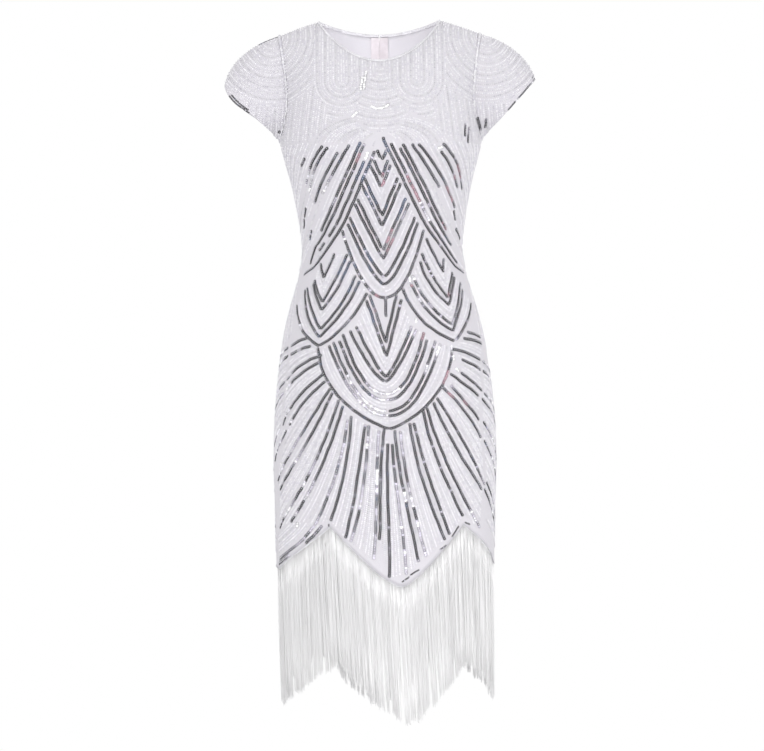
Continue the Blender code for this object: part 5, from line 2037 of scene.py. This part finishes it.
def hang_fringe(name, first_angle):
    """Threads along half of the hem, gathered a little into locks."""
    local = random.Random(name)
    run = hem_run(first_angle, first_angle + 180.0, ROOT_STEPS)
    roots = list(walk([entry[0] for entry in run], THREAD_SPACING))
    locks = locks_along(len(roots) * THREAD_SPACING + LOCK_WIDTH, local)
    made, tints = [], []
    for n, (point, along, share) in enumerate(roots):
        travelled = n * THREAD_SPACING
        while travelled > locks[0]["start"] + locks[0]["wide"]:
            locks.pop(0)
        lock = locks[0]
        one = draw_from(THREAD_RANGES, local)
        flat_out = outward_at(point)
        sideways = Vector((-flat_out.y, flat_out.x, 0.0))
        if sideways.dot(along) < 0:
            sideways = -sideways
        drop = FRINGE_LENGTH + lock["cut"] + one["cut"]
        to_middle = (lock["start"] + lock["wide"] / 2 - travelled) * lock["gather"]
        drift = to_middle + lock["sway"] * LOCK_SWAY + one["drift"]
        inward = Vector((-point.x, -point.y, 0.0)).normalized() * FRINGE_LEAN * drop
        inward.x += FRINGE_SWAY * abs(math.cos(math.radians(first_angle + 180.0 * share)))
        root = point - flat_out * one["behind"] + SKY * one["root"]
        across = np.array(sideways[:])
        depth = np.array(flat_out[:])
        path = (
            np.array(root[:])[None, :]
            + np.outer(down, np.array((inward - SKY * drop)[:]))
            + np.outer(down ** 1.4 * drift + np.sin(down * math.pi) * one["bend"], across)
            + np.outer(np.sin(down * math.pi * 0.9) * one["bow"], depth)
        )
        x, y = thread_points[:, 0] * one["thick"], thread_points[:, 1] * one["thick"]
        cosine, sine = math.cos(one["twist"]), math.sin(one["twist"])
        made.append(path + np.outer(x * cosine - y * sine, across) + np.outer(x * sine + y * cosine, depth))
        shade = lock["tone"] * one["tone"]
        tints.append((shade, shade * 0.995, shade, 1.0))
    tints = np.repeat(np.array(tints), len(thread_points), axis=0)
    keep_copies(name, np.array(made) * MM, thread_faces, tints, thread)


hang_fringe("fringe_threads_front", -90.0)
hang_fringe("fringe_threads_back", 90.0)

# %% [markdown]
# ## Neck binding
#
# A narrow strip of satin is folded over the neck's edge and stitched, from one side of the
# zip round to the other.  It could be a curve with a bevel, but its width has to follow the
# slope of the cloth, so a rounded outline is swept along the edge in the cloth's own frame.

# %% Neck binding and its stitches
BINDING_WIDTH = 4.0
STITCH_PITCH, STITCH_UP, STITCH_OUT = 3.4, 1.3, 0.6
BINDING_SMOOTHINGS = 16         # the binding turns gently over the two shoulder points


def neck_edge(sheet_name):
    """Edge points of one panel's neck, from column to column, with normal and upward way."""
    sheet = sheets[sheet_name]
    top, below = {}, {}
    for point, normal, (_, i, j) in zip(sheet["points"], sheet["normals"], sheet["where"]):
        if abs(i) > NECK_STEPS + TINY:
            continue
        if abs(j - TOP_ROW) < TINY:
            top[round(i, 4)] = (point, normal)
        if abs(j - TOP_ROW + 1.0 / BODY_FINE_UP) < TINY:
            below[round(i, 4)] = point
    return [(*top[i], (top[i][0] - below[i]).normalized()) for i in sorted(top)]


around_neck = neck_edge("back_left_net") + neck_edge("front_net")[::-1][1:]
around_neck += neck_edge("back_right_net")[1:]
neck_run = []
for n, (point, normal, up) in enumerate(around_neck):
    beyond = normal.cross(heading_at(around_neck, n))
    if beyond.dot(up) < 0:
        beyond = -beyond
    neck_run.append([point.copy(), normal, beyond.normalized()])
for _ in range(BINDING_SMOOTHINGS):
    ways = [entry[1:] for entry in neck_run]
    for n, entry in enumerate(neck_run):
        near = ways[max(n - 1, 0):n + 2]
        entry[1] = sum((way[0] for way in near), Vector()).normalized()
        entry[2] = sum((way[1] for way in near), Vector()).normalized()
neck_run[0][0].x = NECK_OPENING / 2
neck_run[-1][0].x = -NECK_OPENING / 2
low, high = 0.2, 0.3 + BINDING_WIDTH
binding_outline = [
    (0.35, low), (0.6, low + 0.9), (0.6, high - 0.9), (0.1, high - 0.2), (-0.8, high),
    (-1.7, high - 0.2), (-2.1, high - 0.9), (-2.1, low + 0.9), (-1.8, low),
]
binding = sweep_bar("neck_binding_satin", neck_run, binding_outline, binding_satin)
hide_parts("neck_binding")


def make_stitch_shape():
    bm = bmesh.new()
    add_cone(bm, 5, 0.22, 1.0, 2.0)
    turn_shape(bm, math.pi / 2, "Y")
    return shape_arrays(bm)


stitches = []
stitch_line = [point + up * STITCH_UP + normal * STITCH_OUT for point, normal, up in neck_run]
for point, along, _ in walk(stitch_line, STITCH_PITCH):
    near = min(neck_run, key=lambda entry: (entry[0] - point).length)
    stitches.append((point, near[1], along, (0.95, 0.95, 0.96), 1.0))
sew_on("neck_stitches", make_stitch_shape(), stitches, thread)

# %% [markdown]
# ## The zip
#
# The centre-back zip is a nylon coil on two woven tapes, with a lacquered slider and pull.
# Its tapes, slider and pull keep the frame's solids and only get a finish.  The coil is
# too fine for a solid, so it is made of small rounded bars that reach over the middle from
# either side in turn.

# %% Coil and hardware
TOOTH_PITCH = 1.5
COIL_DEPTH = 0.75               # the coil's middle lies this far inside the backs' surface
LINE_FINE = 8


def make_tooth_shape():
    bm = bmesh.new()
    add_cone(bm, 6, 0.5, 0.84, 2.6)
    turn_shape(bm, math.pi / 2, "X")
    bmesh.ops.translate(bm, verts=bm.verts[:], vec=(0.0, 0.65, 0.0))
    return shape_arrays(bm)


centre_line = []
for n in range(TOP_ROW * LINE_FINE, -1, -1):
    point = body_point(0.0, n / LINE_FINE, True, True)
    if point.z < ZIP_END_Z:
        break
    centre_line.append(point)
teeth = []
for n, (point, along, _) in enumerate(walk(centre_line[2:], TOOTH_PITCH / 2)):
    outward = Vector((1.0, 0.0, 0.0)).cross(along).normalized()
    if outward.y < 0:
        outward = -outward
    heading = along if n % 2 else -along
    teeth.append((point - outward * COIL_DEPTH, outward, heading, (0.8, 0.8, 0.8), 1.0))
coil = sew_on("zip_coil", make_tooth_shape(), teeth, coil_plastic)
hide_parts("zip_chain")

for node, material in (
    ("zip_tape_left", tape_weave),
    ("zip_tape_right", tape_weave),
    ("zip_slider", painted_metal),
    ("zip_pull", painted_metal),
):
    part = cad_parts[node]
    part.data.materials.clear()
    part.data.materials.append(material)
print("teeth:", len(teeth))

# %% [markdown]
# ## What stands for what
#
# Each finished piece takes the place of the plain solid that it dresses, and each sheet of
# cloth says how large it is.  A size is that of the flat piece, without what the seams hide.

STANDS_FOR = {
    "front_net": "front",
    "back_left_net": "back_left",
    "back_right_net": "back_right",
    "sleeve_left_net": "sleeve_left",
    "sleeve_right_net": "sleeve_right",
    "fringe_threads_front": "fringe_front",
    "fringe_threads_back": "fringe_back",
}
for name, node in STANDS_FOR.items():
    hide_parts(node)

FLAT_COLUMNS = ("name", "width", "length", "area", "goes_with")
FLAT_PIECES = (
    ("front_net", 0.445, 0.790, 0.305, ("fringe_threads_front", "fringe_braid_front")),
    ("back_left_net", 0.240, 0.840, 0.156, ()),
    ("back_right_net", 0.240, 0.840, 0.156, ()),
    ("sleeve_left_net", 0.270, 0.110, 0.024, ()),
    ("sleeve_right_net", 0.270, 0.110, 0.024, ()),
)
for row in as_rows(FLAT_COLUMNS, FLAT_PIECES):
    cut = row["name"]
    [pieces[other] for other in row["goes_with"]]
    print(cut, "laid area", round(sheets[cut]["area"] / 1e6, 4), "cut area", row["area"])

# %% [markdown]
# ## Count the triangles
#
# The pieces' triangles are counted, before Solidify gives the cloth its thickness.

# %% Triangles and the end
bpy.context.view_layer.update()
total = 0
for thing in pieces.values():
    total += sum(len(face.vertices) - 2 for face in thing.data.polygons)
print("triangles before thickness:", total)
